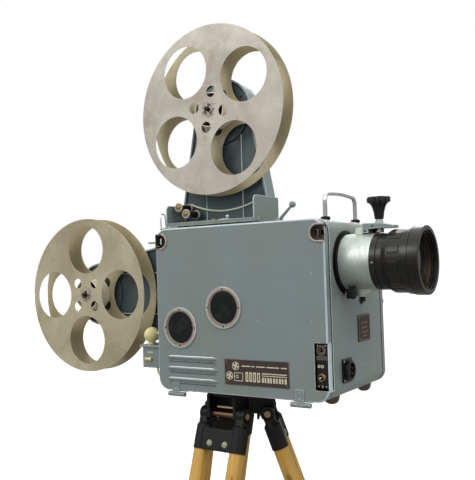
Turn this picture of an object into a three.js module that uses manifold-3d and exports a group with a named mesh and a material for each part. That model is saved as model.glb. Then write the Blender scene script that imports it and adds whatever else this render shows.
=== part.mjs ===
// A portable 35 mm cinema projector on a wooden tripod, in millimetres, +Z up.
//
// The projector is drawn in its case frame: X runs from the rear wall (0) to the lens wall, Y from the
// hinged cover (0) to the drive side, and Z up from the underside of the case. The whole model is then
// moved so that the middle of its feet's bounding box lies on the origin.
import * as THREE from 'three';
import { mergeVertices } from 'three/addons/utils/BufferGeometryUtils.js';
import Module from 'manifold-3d';

const wasm = await Module();
wasm.setup();

// ---------------------------------------------------------------- driving dimensions

const CLEARANCE = 0.3; // between neighbouring pieces
const CASE = { width: 408, depth: 286, height: 348, corner: 27, wall: 3 };
const COVER = { depth: 16, wall: 2, pivotY: 3, pivotZ: -7, barrel: 5 };
const FILM_Y = 96.8; // middle of the film, and of the lens
const LENS_Z = 261.9;
const REEL = { radius: 190, flange: 1.3, frontY: 74.3, backY: 119.9, core: 38 };
const REEL_WINDOW = { count: 4, orbit: 112.5, radius: 59.5 };
const REEL_HOLE = { count: 4, orbit: 40, radius: 12.5 };
const FEED_HUB = { x: 99.6, z: 612, turn: 34 };
const TAKE_UP_HUB = { x: -290, z: 202.4, turn: 0 };
const ARM = { frontY: 125, backY: 162, recess: 6, rim: 5, wall: 3, crown: 79, taper: 200, base: 115 };
const ARM_BASE = 356.6; // height at which the feed arm stands
const BRACKET = { y: [62, 168], lipTop: 364, rearTop: 405, frontTop: 412, sheet: 2.7, corner: 12 };
const TRIPOD = { x: 144.7, y: 102.3, hingeZ: -50, hingeRadius: 60, firstAngle: 27.9, splay: 18.9 };
const POLE = { spacing: 45.5, radius: 16, sides: 20, top: -30, bottom: -650 };
const LEG_LENGTH = 920;
const SLEEVE = { length: 68.8, radius: 55.5, bore: 49.2, flange: 60.5 };
const LENS_LENGTH = 166; // in front of the case
const LENS_TAIL = CASE.width - 45; // rear end of the barrel, inside the case
const WINDOWS = [{ name: 'window_rear', x: 63, z: 134.6 }, { name: 'window_front', x: 175.4, z: 177.5 }];
const WINDOW = { ring: 43, pane: 34, spigot: 36 };
const PLATE_Y = [132, 136]; // mechanism plate
const SPROCKET = { radius: 15, width: 34, shaft: 4 };
const SHUTTER = { x: 308, y: 160, z: 232, radius: 78, thickness: 2 };
const ROUND = 36; // sides of the large turned pieces
const degrees = THREE.MathUtils.degToRad;

// ---------------------------------------------------------------- materials

function finish(color, roughness, metalness) {
  return new THREE.MeshStandardMaterial({ color, roughness, metalness });
}

const paint = finish(0x75827c, 0.5, 0.2);
const slatePaint = finish(0x46525a, 0.55, 0.2);
const blackPaint = finish(0x2c2c2b, 0.6, 0.3);
const blackPlastic = finish(0x151515, 0.35, 0);
const creamPlastic = finish(0xd7cd96, 0.45, 0);
const reelMetal = finish(0xa59e8c, 0.5, 0.7);
const steel = finish(0xb5b8ba, 0.35, 0.9);
const chrome = finish(0xd8dadc, 0.12, 1);
const aluminium = finish(0xc0c8c5, 0.35, 0.9);
const copper = finish(0xa06a4a, 0.4, 0.9);
const brownPlate = finish(0x50372d, 0.45, 0.2);
const glass = finish(0x2d3032, 0.08, 0);
const wood = finish(0xbe9650, 0.45, 0);

// ---------------------------------------------------------------- solids

// A closed three.js geometry as a manifold solid, with its faces turned outwards.
function solid(geometry) {
  geometry.deleteAttribute('normal');
  geometry.deleteAttribute('uv');
  const merged = mergeVertices(geometry, 1e-4);
  const corners = merged.index.array;
  const triangles = [];
  for (let i = 0; i < corners.length; i += 3) {
    const [a, b, c] = [corners[i], corners[i + 1], corners[i + 2]];
    if (a !== b && b !== c && c !== a) triangles.push(a, b, c);
  }
  const closed = (triVerts) => new wasm.Manifold(new wasm.Mesh({
    numProp: 3,
    vertProperties: Float32Array.from(merged.attributes.position.array),
    triVerts: Uint32Array.from(triVerts),
  }));
  const body = closed(triangles);
  return body.volume() > 0 ? body : closed(triangles.reverse());
}

function join(...solids) {
  return solids.reduce((whole, piece) => whole.add(piece));
}

function cut(whole, ...tools) {
  return tools.reduce((rest, tool) => rest.subtract(tool), whole);
}

const X = new THREE.Vector3(1, 0, 0);
const Y = new THREE.Vector3(0, 1, 0);
const Z = new THREE.Vector3(0, 0, 1);

// Turns a geometry drawn along +Z so that it lies along another axis.
function along(geometry, axis) {
  const turns = { x: [Y, Z, X], y: [Z, X, Y], z: [X, Y, Z] };
  return geometry.applyMatrix4(new THREE.Matrix4().makeBasis(...turns[axis]));
}

function box([x0, x1], [y0, y1], [z0, z1]) {
  const block = new THREE.BoxGeometry(x1 - x0, y1 - y0, z1 - z0);
  block.translate((x0 + x1) / 2, (y0 + y1) / 2, (z0 + z1) / 2);
  return solid(block);
}

// A rod or cone from one place to another along an axis; centre is any point on its axis.
function rod(axis, centre, [from, to], radius, { end = radius, sides = 12 } = {}) {
  const cylinder = new THREE.CylinderGeometry(end, radius, to - from, sides);
  cylinder.rotateX(Math.PI / 2);
  along(cylinder, axis);
  const middle = centre.clone().setComponent('xyz'.indexOf(axis), (from + to) / 2);
  cylinder.translate(...middle.toArray());
  return solid(cylinder);
}

// A turned piece: profile points are [radius, place along the axis], from the axis and back to it.
function turned(axis, centre, profile, sides = 16) {
  const points = profile.map(([radius, place]) => new THREE.Vector2(radius, place));
  const lathe = new THREE.LatheGeometry(points, sides);
  lathe.rotateX(Math.PI / 2);
  along(lathe, axis);
  lathe.translate(...centre.toArray());
  return solid(lathe);
}

// A plate whose outline is drawn in X and Z, standing between two Y planes.
function plateXZ(outline, [y0, y1], curveSegments = 6) {
  const plate = new THREE.ExtrudeGeometry(outline, { depth: y1 - y0, bevelEnabled: false, curveSegments });
  plate.rotateX(Math.PI / 2);
  plate.translate(0, y1, 0);
  return solid(plate);
}

// A plate whose outline is drawn in Y and Z, standing between two X planes.
function plateYZ(outline, [x0, x1], curveSegments = 4) {
  const plate = new THREE.ExtrudeGeometry(outline, { depth: x1 - x0, bevelEnabled: false, curveSegments });
  along(plate, 'x');
  plate.translate(x0, 0, 0);
  return solid(plate);
}

function roundedRectangle([a0, a1], [b0, b1], radius) {
  const outline = new THREE.Shape();
  outline.absarc(a1 - radius, b0 + radius, radius, -Math.PI / 2, 0);
  outline.absarc(a1 - radius, b1 - radius, radius, 0, Math.PI / 2);
  outline.absarc(a0 + radius, b1 - radius, radius, Math.PI / 2, Math.PI);
  outline.absarc(a0 + radius, b0 + radius, radius, Math.PI, 1.5 * Math.PI);
  return outline;
}

// A round bar that follows a smooth path through the given points.
function bentBar(points, radius, { sides = 8, steps = 24, tension = 0.5 } = {}) {
  const path = new THREE.CatmullRomCurve3(points, false, 'catmullrom', tension);
  const section = new THREE.Shape().absarc(0, 0, radius, 0, 2 * Math.PI);
  const bar = new THREE.ExtrudeGeometry(section, { steps, extrudePath: path, curveSegments: sides / 2 });
  return solid(bar);
}

const at = (x, y, z) => new THREE.Vector3(x, y, z);

// Adds a named sub-part to a group.
function addPart(group, name, body, material) {
  const { vertProperties, triVerts } = body.getMesh();
  const geometry = new THREE.BufferGeometry();
  geometry.setAttribute('position', new THREE.BufferAttribute(Float32Array.from(vertProperties), 3));
  geometry.setIndex(new THREE.BufferAttribute(Uint32Array.from(triVerts), 1));
  geometry.computeVertexNormals();
  const mesh = new THREE.Mesh(geometry, material);
  mesh.name = name;
  group.add(mesh);
}

// ---------------------------------------------------------------- case and covers

const caseOutline = (inset) => roundedRectangle(
  [inset, CASE.width - inset], [inset, CASE.height - inset], CASE.corner - inset);
const HINGES = [[26, 69], [324, 367]]; // X span of each cover hinge
const NOTCH = { x: [378, CASE.width + 1], z: [23, 112] };
const LATCHES = [{ name: 'latch_rear', x: 14, side: -1 }, { name: 'latch_front', x: 394, side: 1 }];
const LATCH = { z: 320, radius: 16.5, floorY: 9 };
const LOUVRE = { count: 3, x: [25.5, 157], lowest: 28, pitch: 23, out: 5, height: 7.5 };
const NAMEPLATE = { x: [175, 324], z: [22.5, 73.7], front: -1.5 };

function knuckleSpan([start, end]) {
  const third = (end - start) / 3;
  return { moving: [start + third, end - third], fixed: [[start, start + third], [end - third, end]] };
}

function caseBody() {
  const span = [COVER.depth + CLEARANCE, CASE.depth - COVER.depth - CLEARANCE];
  let body = cut(plateXZ(caseOutline(0), span), plateXZ(caseOutline(CASE.wall), [0, CASE.depth]));
  const lensAxis = at(0, FILM_Y, LENS_Z);
  body = cut(body, rod('x', lensAxis, [CASE.width - 20, CASE.width + 20], SLEEVE.bore + 0.8, { sides: ROUND }));
  const axis = at(0, COVER.pivotY, COVER.pivotZ);
  for (const hinge of HINGES) {
    for (const [start, end] of knuckleSpan(hinge).fixed) {
      const inner = start === hinge[0] ? [start, end - CLEARANCE] : [start + CLEARANCE, end];
      const leafZ = [COVER.pivotZ - COVER.barrel + 1, COVER.pivotZ + 3];
      body = join(body, rod('x', axis, inner, COVER.barrel, { sides: 10 }),
        box(inner, [COVER.pivotY, 40], leafZ), box(inner, [18, 40], [leafZ[0], 1]));
    }
  }
  return body;
}

function sideCover() {
  let cover = cut(plateXZ(caseOutline(0), [0, COVER.depth]),
    plateXZ(caseOutline(COVER.wall), [COVER.wall, COVER.depth + 1]));
  for (const { x, z } of WINDOWS) {
    cover = cut(cover, rod('y', at(x, 0, z), [-1, 3], WINDOW.spigot + CLEARANCE, { sides: 28 }));
  }
  cover = cut(cover, box(NOTCH.x, [-1, COVER.depth + 1], NOTCH.z));
  for (const { x, side } of LATCHES) {
    const edge = side < 0 ? 0 : CASE.width;
    const run = [Math.min(x, edge), Math.max(x, edge)];
    const [outer, inner] = [LATCH.radius + COVER.wall, LATCH.radius];
    const pocket = join(rod('y', at(x, 0, LATCH.z), [0.5, LATCH.floorY + 2], outer),
      box(run, [0.5, LATCH.floorY + 2], [LATCH.z - outer, LATCH.z + outer]));
    const hollow = join(rod('y', at(x, 0, LATCH.z), [-1, LATCH.floorY], inner),
      box([run[0] - 1, run[1] + 1], [-1, LATCH.floorY], [LATCH.z - inner, LATCH.z + inner]));
    const slot = box([x - 9, x + 9], [LATCH.floorY - 1, LATCH.floorY + 3], [LATCH.z - 5, LATCH.z + 5]);
    const outside = plateXZ(caseOutline(0), [0, COVER.depth]);
    cover = cut(join(cover, pocket.intersect(outside)), hollow, slot);
  }
  for (let i = 0; i < LOUVRE.count; i += 1) {
    const top = LOUVRE.lowest + LOUVRE.pitch * i;
    const slat = new THREE.Shape();
    slat.moveTo(1, top);
    slat.lineTo(1 - LOUVRE.out, top);
    slat.lineTo(-LOUVRE.out, top - 1.5);
    slat.lineTo(1, top - LOUVRE.height);
    cover = join(cover, plateYZ(slat, LOUVRE.x));
  }
  const axis = at(0, COVER.pivotY, COVER.pivotZ);
  for (const hinge of HINGES) {
    const { moving } = knuckleSpan(hinge);
    cover = join(cover, rod('x', axis, moving, COVER.barrel, { sides: 10 }),
      box(moving, [-2, 1], [COVER.pivotZ, 23]));
  }
  return cover;
}

// A screwed bezel with its pane, as one turned piece that drops into the cover.
function windowPane({ x, z }) {
  const profile = [[0, 1], [WINDOW.pane, 1], [WINDOW.pane + 1, -3], [WINDOW.ring - 1, -3],
    [WINDOW.ring, -2], [WINDOW.ring, -CLEARANCE], [WINDOW.spigot, -CLEARANCE], [WINDOW.spigot, 3], [0, 3]];
  return turned('y', at(x, 0, z), profile, 28);
}

function latch({ x, side }) {
  const floor = LATCH.floorY;
  const thumb = box([x - 6, x + 6], [floor - 5, floor - CLEARANCE], [LATCH.z - 9, LATCH.z + 9]);
  const grip = box([x - 2, x + 2], [2, LATCH.floorY - 4], [LATCH.z - 8, LATCH.z + 8]);
  const stem = box([x - 3, x + 3], [LATCH.floorY - 2, COVER.depth + 6], [LATCH.z - 4, LATCH.z + 4]);
  const nose = [x + side * 2, x + side * 8].sort((a, b) => a - b);
  return join(thumb, grip, stem, box(nose, [COVER.depth + 2, COVER.depth + 6], [LATCH.z - 4, LATCH.z + 4]));
}

function driveCover() {
  const inner = CASE.depth - COVER.wall;
  const cover = cut(plateXZ(caseOutline(0), [CASE.depth - COVER.depth, CASE.depth]),
    plateXZ(caseOutline(COVER.wall), [0, inner]));
  return cut(cover, rod('y', at(INCHING.x, 0, INCHING.z), [inner - 1, CASE.depth + 1], INCHING.shaft + 1));
}

// ---------------------------------------------------------------- mechanism inside the case

const INCHING = { x: 390, z: 175, radius: 14, shaft: 4 };
const SPROCKETS = [
  { name: 'upper_sprocket', x: 275, z: 300 },
  { name: 'intermittent_sprocket', x: 336, z: 188 },
  { name: 'lower_sprocket', x: 262, z: 112 },
];
const GATE = { x: [320, 340], y: [78, 116], z: [212, 318] };
const LAMP_HOUSE = { x: [110, 250], y: [30, 127], z: [226, 334], wall: 2 };

function mechanismPlate() {
  const plate = plateXZ(caseOutline(CASE.wall + 0.5), PLATE_Y);
  const span = [PLATE_Y[0] - 1, PLATE_Y[1] + 1];
  const bores = SPROCKETS.map(({ x, z }) => rod('y', at(x, 0, z), span, SPROCKET.shaft + 1));
  const reach = Math.sqrt(SHUTTER.radius ** 2 - (SHUTTER.y - PLATE_Y[1]) ** 2) + 4;
  const slot = box([SHUTTER.x - 5, SHUTTER.x + 7], span, [SHUTTER.z - reach, SHUTTER.z + reach]);
  const lensTail = box([LENS_TAIL - 6, CASE.width], span, [LENS_Z - 53, LENS_Z + 53]);
  return cut(plate, slot, lensTail, ...bores);
}

function sprocket({ x, z }) {
  const [y0, y1] = [FILM_Y - SPROCKET.width / 2, FILM_Y + SPROCKET.width / 2];
  const { radius } = SPROCKET;
  const profile = [[0, y0], [radius, y0], [radius, y0 + 5], [radius - 2, y0 + 6], [radius - 2, y1 - 6],
    [radius, y1 - 5], [radius, y1], [SPROCKET.shaft, y1], [SPROCKET.shaft, PLATE_Y[1] + 10],
    [0, PLATE_Y[1] + 10]];
  return turned('y', at(x, 0, z), profile, 12);
}

function filmGate() {
  const aperture = box([GATE.x[0] - 1, GATE.x[1] + 1], [FILM_Y - 11, FILM_Y + 11], [LENS_Z - 8, LENS_Z + 8]);
  const channel = box([GATE.x[0] + 8, GATE.x[0] + 10], [FILM_Y - 17.6, FILM_Y + 17.6],
    [GATE.z[0] - 1, GATE.z[1] + 1]);
  return cut(box(GATE.x, GATE.y, GATE.z), aperture, channel);
}

function lampHouse() {
  const { x, y, z, wall } = LAMP_HOUSE;
  const shell = cut(box(x, y, z), box([x[0] + wall, x[1] - wall], [y[0] + wall, y[1] + 1],
    [z[0] + wall, z[1] - wall]));
  const light = rod('x', at(0, FILM_Y, LENS_Z), [x[1] - 5, x[1] + 5], 22);
  const vents = [0, 1, 2, 3].map((i) => {
    const start = x[0] + 22 + 28 * i;
    return box([start, start + 10], [y[0] + 15, y[1] - 15], [z[1] - 5, z[1] + 5]);
  });
  return cut(shell, light, ...vents);
}

function driveMotor() {
  const profile = [[0, 40], [30, 40], [50, 52], [50, 190], [34, 204], [9, 204], [9, 216], [5, 216],
    [5, 262], [0, 262]];
  return turned('x', at(0, 205, 82), profile, 20);
}

function shutter() {
  const { x, y, z, radius, thickness } = SHUTTER;
  const centre = at(x, y, z);
  const disc = rod('x', centre, [x, x + thickness], radius, { sides: 28 });
  const inner = 22;
  const openings = [0, 1].map((i) => {
    const sector = new THREE.Shape();
    const start = degrees(45 + 180 * i);
    sector.absarc(y, z, radius + 4, start, start + Math.PI / 2, false);
    sector.absarc(y, z, inner, start + Math.PI / 2, start, true);
    return plateYZ(sector, [x - 1, x + thickness + 1], 8);
  });
  const shaft = rod('x', centre, [x - 30, x + 24], 6);
  return join(cut(disc, ...openings), shaft);
}

function inchingKnob() {
  const { x, z, radius, shaft } = INCHING;
  const face = CASE.depth + 1;
  const profile = [[0, face - 40], [shaft, face - 40], [shaft, face], [radius, face], [radius, face + 14],
    [radius - 3, face + 17], [0, face + 17]];
  return turned('y', at(x, 0, z), profile, 16);
}

// ---------------------------------------------------------------- lens

const CLAMP = { x: 480, y: FILM_Y };
const LENS_FRONT = CASE.width + LENS_LENGTH;
const LENS_HOOD = 26; // depth of the cone in front of the glass

function lensSleeve() {
  const axis = at(0, FILM_Y, LENS_Z);
  const span = [CASE.width + CLEARANCE, CASE.width + SLEEVE.length];
  const bottom = LENS_Z - SLEEVE.radius;
  const tube = rod('x', axis, span, SLEEVE.radius, { sides: ROUND });
  const flange = rod('x', axis, [span[0], span[0] + 6], SLEEVE.flange, { sides: ROUND });
  const lug = box([CASE.width + 2, CASE.width + 60], [FILM_Y - 18, FILM_Y + 16], [bottom - 12, bottom + 8]);
  const slit = box([CASE.width, CASE.width + 61], [FILM_Y - 1, FILM_Y + 1], [bottom - 13, bottom + 3]);
  const boss = box([CASE.width + 24, CASE.width + 41], [FILM_Y - 13, FILM_Y + 13],
    [LENS_Z + 50, LENS_Z + SLEEVE.radius + 12]);
  const bore = rod('x', axis, [span[0] - 1, span[1] + 1], SLEEVE.bore, { sides: ROUND });
  const screw = rod('y', at(FOCUS.x, 0, FOCUS.z), [0, 140], FOCUS.shaft + CLEARANCE);
  return cut(join(tube, flange, lug, boss), bore, slit, screw);
}

function lensBarrel() {
  const shoulder = CASE.width + SLEEVE.length + CLEARANCE;
  const fit = SLEEVE.bore - 0.5;
  const hood = LENS_FRONT - LENS_HOOD;
  const tail = [[0, LENS_TAIL], [44, LENS_TAIL], [fit, LENS_TAIL + 7], [fit, shoulder], [54.5, shoulder]];
  const rings = [[54.5, shoulder + 11], [53, shoulder + 12], [54.5, shoulder + 24], [60.5, shoulder + 34],
    [60.5, shoulder + 60], [62.5, shoulder + 61]];
  const front = [[65, LENS_FRONT - 20], [65, LENS_FRONT - 1.5], [64, LENS_FRONT], [57, LENS_FRONT],
    [48, hood], [0, hood]];
  return turned('x', at(0, FILM_Y, LENS_Z), [...tail, ...rings, ...front], ROUND);
}

function lensGlass() {
  const seat = LENS_FRONT - LENS_HOOD + CLEARANCE;
  return turned('x', at(0, FILM_Y, LENS_Z), [[0, seat], [47, seat], [40, seat + 5], [22, seat + 9],
    [0, seat + 10]], ROUND);
}

function clampBracket() {
  const foot = LENS_Z + SLEEVE.radius + CLEARANCE;
  const outline = new THREE.Shape();
  const start = CASE.width + 42;
  outline.moveTo(start, foot);
  outline.lineTo(start + 12, foot);
  outline.lineTo(start + 12, foot + 8);
  outline.lineTo(start + 62, foot + 8);
  outline.lineTo(start + 64, foot + 12);
  outline.lineTo(start + 40, foot + 17);
  outline.lineTo(start, foot + 18);
  const beam = plateXZ(outline, [FILM_Y - 15, FILM_Y + 15]);
  return cut(beam, rod('z', at(CLAMP.x, CLAMP.y, 0), [foot, foot + 30], 4.6));
}

function clampKnob() {
  const tip = LENS_Z + SLEEVE.radius + 1;
  const [collar, grip, top] = [tip + 18, 345, 387];
  const profile = [[0, tip], [4, tip], [4, collar], [7, collar + 1], [7, grip - 3], [8.5, grip],
    [10, grip + 14], [13, grip + 24], [17, grip + 31], [20, grip + 32], [20, top - 1], [19, top], [0, top]];
  const body = turned('z', at(CLAMP.x, CLAMP.y, 0), profile, 18);
  const lobes = [0, 1, 2, 3, 4, 5].map((i) => {
    const angle = degrees(60 * i);
    const centre = at(CLAMP.x + 18 * Math.cos(angle), CLAMP.y + 18 * Math.sin(angle), 0);
    return rod('z', centre, [grip + 32, top - 1], 6, { sides: 6 });
  });
  return join(body, ...lobes);
}

const FOCUS = { x: 429, z: 201, shaft: 3 };

function focusKnob() {
  const face = FILM_Y - 18 - 2;
  const profile = [[0, face - 14], [7, face - 14], [8.5, face - 12], [8.5, face - 2], [5, face - 1],
    [FOCUS.shaft, face], [FOCUS.shaft, FILM_Y + 12], [0, FILM_Y + 12]];
  const lobes = [0, 1, 2, 3].map((i) => {
    const angle = degrees(45 + 90 * i);
    const centre = at(FOCUS.x + 7.5 * Math.cos(angle), 0, FOCUS.z + 7.5 * Math.sin(angle));
    return rod('y', centre, [face - 13, face - 8.5], 4.5, { sides: 6 });
  });
  return join(turned('y', at(FOCUS.x, 0, FOCUS.z), profile, 12), ...lobes);
}

// ---------------------------------------------------------------- fittings on the case

function carryHandle() {
  const [x, near, far, base, top] = [380, 67, 214, CASE.height + 3, 401];
  const bar = bentBar([at(x, near, base), at(x, near, top - 22), at(x, near + 4, top - 7),
    at(x, near + 17, top), at(x, (near + far) / 2, top + 3), at(x, far - 17, top),
    at(x, far - 4, top - 7), at(x, far, top - 22), at(x, far, base)], 4.4, { steps: 14 });
  const feet = [near, far].map((y) => rod('z', at(x, y, 0), [CASE.height + CLEARANCE, base + 2], 9));
  return join(bar, ...feet);
}

function frontConnector() {
  const wall = CASE.width + CLEARANCE;
  const [y, z] = [80, 52];
  const flange = plateYZ(roundedRectangle([y - 23, y + 23], [z - 23, z + 23], 4), [wall, wall + 4]);
  const profile = [[0, wall + 3], [19, wall + 3], [19, wall + 11], [17, wall + 12], [15, wall + 12],
    [14, wall + 6], [0, wall + 6]];
  return join(flange, turned('x', at(0, y, z), profile, 14));
}

const SWITCH = { x: 391, z: 47 };

function switchPanel() {
  const [front, back] = [5, COVER.depth + 4];
  const panel = box([380, 404], [front, back], [27, 110]);
  const socket = rod('y', at(SWITCH.x, 0, 98), [front - 1, front + 6], 7, { sides: 20 });
  const slot = box([SWITCH.x - 4, SWITCH.x + 4], [front - 1, front + 8], [SWITCH.z - 7, SWITCH.z + 7]);
  return cut(panel, socket, slot);
}

function toggleSwitch() {
  const pivot = at(SWITCH.x, 10, SWITCH.z);
  const barrel = rod('x', pivot, [SWITCH.x - 3, SWITCH.x + 3], 2.6, { sides: 12 });
  return join(barrel, rod('y', pivot, [-4, 10], 1.4, { end: 2, sides: 12 }));
}

function terminalBox() {
  const wall = -CLEARANCE;
  const body = box([-98, wall], [62, 112], [34, 81]);
  const lid = box([-104, wall], [58, 114], [80.5, 86]);
  return join(body, lid);
}

const PLUG = { x: -81, y: 76, z: 108, radius: 18 };

function terminalPlug() {
  const base = 86 + CLEARANCE;
  const ball = new THREE.SphereGeometry(PLUG.radius, 12, 8);
  ball.rotateX(Math.PI / 2);
  ball.translate(PLUG.x, PLUG.y, PLUG.z);
  const neck = rod('z', at(PLUG.x, PLUG.y, 0), [base, PLUG.z - 6], 9, { sides: 20 });
  return join(solid(ball), neck);
}

function upperLead() {
  const start = PLUG.x + PLUG.radius + 1.4;
  return bentBar([at(start, PLUG.y, PLUG.z + 3), at(start + 10, PLUG.y, PLUG.z + 14),
    at(start + 18, PLUG.y, PLUG.z + 28), at(start + 30, PLUG.y, PLUG.z + 30),
    at(start + 42, PLUG.y, PLUG.z + 19), at(-8, PLUG.y, PLUG.z + 15), at(-0.6, PLUG.y, PLUG.z + 15)],
    2.5, { steps: 12 });
}

function lowerLead() {
  const y = 70;
  return bentBar([at(-60, y, 33.4), at(-60, y, 28), at(-56, y, 19), at(-44, y, 11), at(-26, y, 13),
    at(-14, y, 21), at(-6, y, 23), at(-0.6, y, 23)], 2.5, { steps: 10 });
}

// ---------------------------------------------------------------- reel arms, reels and film guides

// The arm's outline about its hub, with its length towards -Z, made smaller all round by inset.
function armOutline(length, inset, overrun = 0) {
  const outline = new THREE.Shape();
  const crown = ARM.crown - inset;
  const shoulder = degrees(8);
  outline.absarc(0, 0, crown, Math.PI + shoulder, -shoulder, true);
  outline.lineTo(ARM.base - inset, -ARM.taper);
  outline.lineTo(ARM.base - inset, -length - overrun);
  outline.lineTo(-ARM.base + inset, -length - overrun);
  outline.lineTo(-ARM.base + inset, -ARM.taper);
  return outline;
}

// A reel arm standing on its base, with the hub at the origin of X and Z.
function reelArm(length) {
  const { frontY, backY, recess, rim, wall } = ARM;
  const face = frontY + recess;
  const block = plateXZ(armOutline(length, 0), [frontY, backY], 12);
  const dish = plateXZ(armOutline(length - rim, rim), [frontY - 1, face], 12);
  const belt = plateXZ(armOutline(length, wall, 5), [face + wall, backY - wall], 12);
  const bearing = rod('y', at(0, 0, 0), [frontY - 2, backY], 12, { sides: 12 });
  const bore = rod('y', at(0, 0, 0), [frontY - 3, backY + 1], 5.5, { sides: 10 });
  return cut(join(cut(block, dish, belt), bearing), bore);
}

function upperArm() {
  return reelArm(FEED_HUB.z - ARM_BASE).translate([FEED_HUB.x, 0, FEED_HUB.z]);
}

function lowerArm() {
  const arm = reelArm(-TAKE_UP_HUB.x - CLEARANCE).rotate([0, -90, 0]);
  return arm.translate([TAKE_UP_HUB.x, 0, TAKE_UP_HUB.z]);
}

function armBracket() {
  const { y, lipTop, rearTop, frontTop, sheet, corner } = BRACKET;
  const inner = [FEED_HUB.x - ARM.base - CLEARANCE, FEED_HUB.x + ARM.base + CLEARANCE];
  const outer = [inner[0] - sheet, inner[1] + sheet];
  const low = CASE.height + 2;
  const base = box(outer, y, [CASE.height + CLEARANCE, ARM_BASE - CLEARANCE]);
  const lip = box(outer, [y[0], y[0] + 3], [low, lipTop]);
  const cheek = (x, top) => {
    const outline = new THREE.Shape();
    outline.moveTo(y[0], low);
    outline.lineTo(y[1], low);
    outline.lineTo(y[1], top);
    outline.absarc(y[0] + corner, top - corner, corner, Math.PI / 2, Math.PI, false);
    return plateYZ(outline, x);
  };
  return join(base, lip, cheek([outer[0], inner[0]], rearTop), cheek([inner[1], outer[1]], frontTop));
}

function reelFlange({ x, z, turn }, [y0, y1], centreHole) {
  const outline = new THREE.Shape().absarc(0, 0, REEL.radius, 0, 2 * Math.PI);
  const ring = (angle, { orbit, radius }) => new THREE.Path().absarc(
    orbit * Math.cos(degrees(angle)), orbit * Math.sin(degrees(angle)), radius, 0, 2 * Math.PI);
  for (let i = 0; i < REEL_WINDOW.count; i += 1) {
    outline.holes.push(ring(turn + 90 * i, REEL_WINDOW), ring(turn + 45 + 90 * i, REEL_HOLE));
  }
  if (centreHole) outline.holes.push(new THREE.Path().absarc(0, 0, centreHole, 0, 2 * Math.PI));
  return plateXZ(outline, [y0, y1], 15).translate([x, 0, z]);
}

// The back flange with the core drum and the square spindle, open from the front as a tube.
function reelBody(hub) {
  const { x, z } = hub;
  const front = REEL.frontY + REEL.flange + CLEARANCE;
  const flange = reelFlange(hub, [REEL.backY - REEL.flange, REEL.backY], 0);
  const span = [front, REEL.backY];
  const drum = cut(rod('y', at(x, 0, z), span, REEL.core, { sides: 30 }),
    rod('y', at(x, 0, z), [front - 1, REEL.backY + 1], REEL.core - 1.2, { sides: 30 }));
  const shaft = rod('y', at(x, 0, z), [REEL.frontY - 12, ARM.backY + 6], 5, { sides: 10 });
  const clutch = rod('y', at(x, 0, z), [REEL.backY - 0.5, ARM.frontY - 2.6], 30, { sides: 24 });
  return join(flange, drum, shaft, clutch);
}

const ROLLERS = [
  { name: 'guide_roller_rear', x: 6.6, z: 400 },
  { name: 'guide_roller_front', x: 27, z: 384 },
];

function guideRoller({ x, z }) {
  const [y0, y1] = [75, 120];
  const profile = [[0, y0], [4, y0], [4, y0 + 2], [10.5, y0 + 2], [10.5, y0 + 5], [8, y0 + 5.5],
    [8, y1 - 5.5], [10.5, y1 - 5], [10.5, y1 - 2], [4, y1 - 2], [4, ARM.frontY - CLEARANCE],
    [0, ARM.frontY - CLEARANCE]];
  return turned('y', at(x, 0, z), profile, 14);
}

function ballLever() {
  const pivot = at(258, 96, CASE.height + 7);
  const ball = at(296, 88, 386);
  const sphere = new THREE.SphereGeometry(7, 10, 6);
  sphere.translate(...ball.toArray());
  const barrel = rod('y', pivot, [pivot.y - 8, pivot.y + 8], 6.4);
  const stem = bentBar([pivot, pivot.clone().lerp(ball, 0.5), ball], 3.4, { sides: 6, steps: 2 });
  return join(stem, solid(sphere), barrel);
}

// ---------------------------------------------------------------- tripod

const KNUCKLE = { radius: 15, inner: 38, outer: 56, pin: 6, head: 8.2 };
const HEAD_LUG = { inner: 30, outer: 37 };
const SOCKET = { radius: 18, top: -30, bottom: -76, webTop: -31 };
const BAR = { width: 30, depth: 24, top: -470 };
const SHOE = { radius: 22, height: 12 };

function tripodHead() {
  const { hingeZ, hingeRadius, firstAngle } = TRIPOD;
  let head = rod('z', at(0, 0, 0), [hingeZ - 4, -CLEARANCE], 42, { sides: 28 });
  head = join(head, rod('z', at(0, 0, 0), [-12, -CLEARANCE], 72, { sides: ROUND }));
  for (let i = 0; i < 3; i += 1) {
    for (const side of [-1, 1]) {
      const width = [side * HEAD_LUG.inner, side * HEAD_LUG.outer].sort((a, b) => a - b);
      const lug = join(box(width, [10, hingeRadius], [hingeZ, -2]),
        box(width, [hingeRadius - 1, hingeRadius + 14], [hingeZ, -8]),
        rod('x', at(0, hingeRadius, hingeZ), width, 14, { sides: 10 }));
      const bore = rod('x', at(0, hingeRadius, hingeZ), [-80, 80], KNUCKLE.pin + 0.6, { sides: 10 });
      const bored = cut(lug, bore);
      head = join(head, bored.rotate([0, 0, firstAngle - 90 + 120 * i]));
    }
  }
  return head;
}

function hingePin() {
  const span = KNUCKLE.outer + 2;
  const pin = rod('x', at(0, 0, 0), [-span, span], KNUCKLE.pin, { sides: 10 });
  const faces = [[-span, -span + 1.6], [span - 1.6, span]];
  const washers = faces.map((place) => rod('x', at(0, 0, 0), place, KNUCKLE.head, { sides: 14 }));
  return join(pin, ...washers);
}

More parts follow.
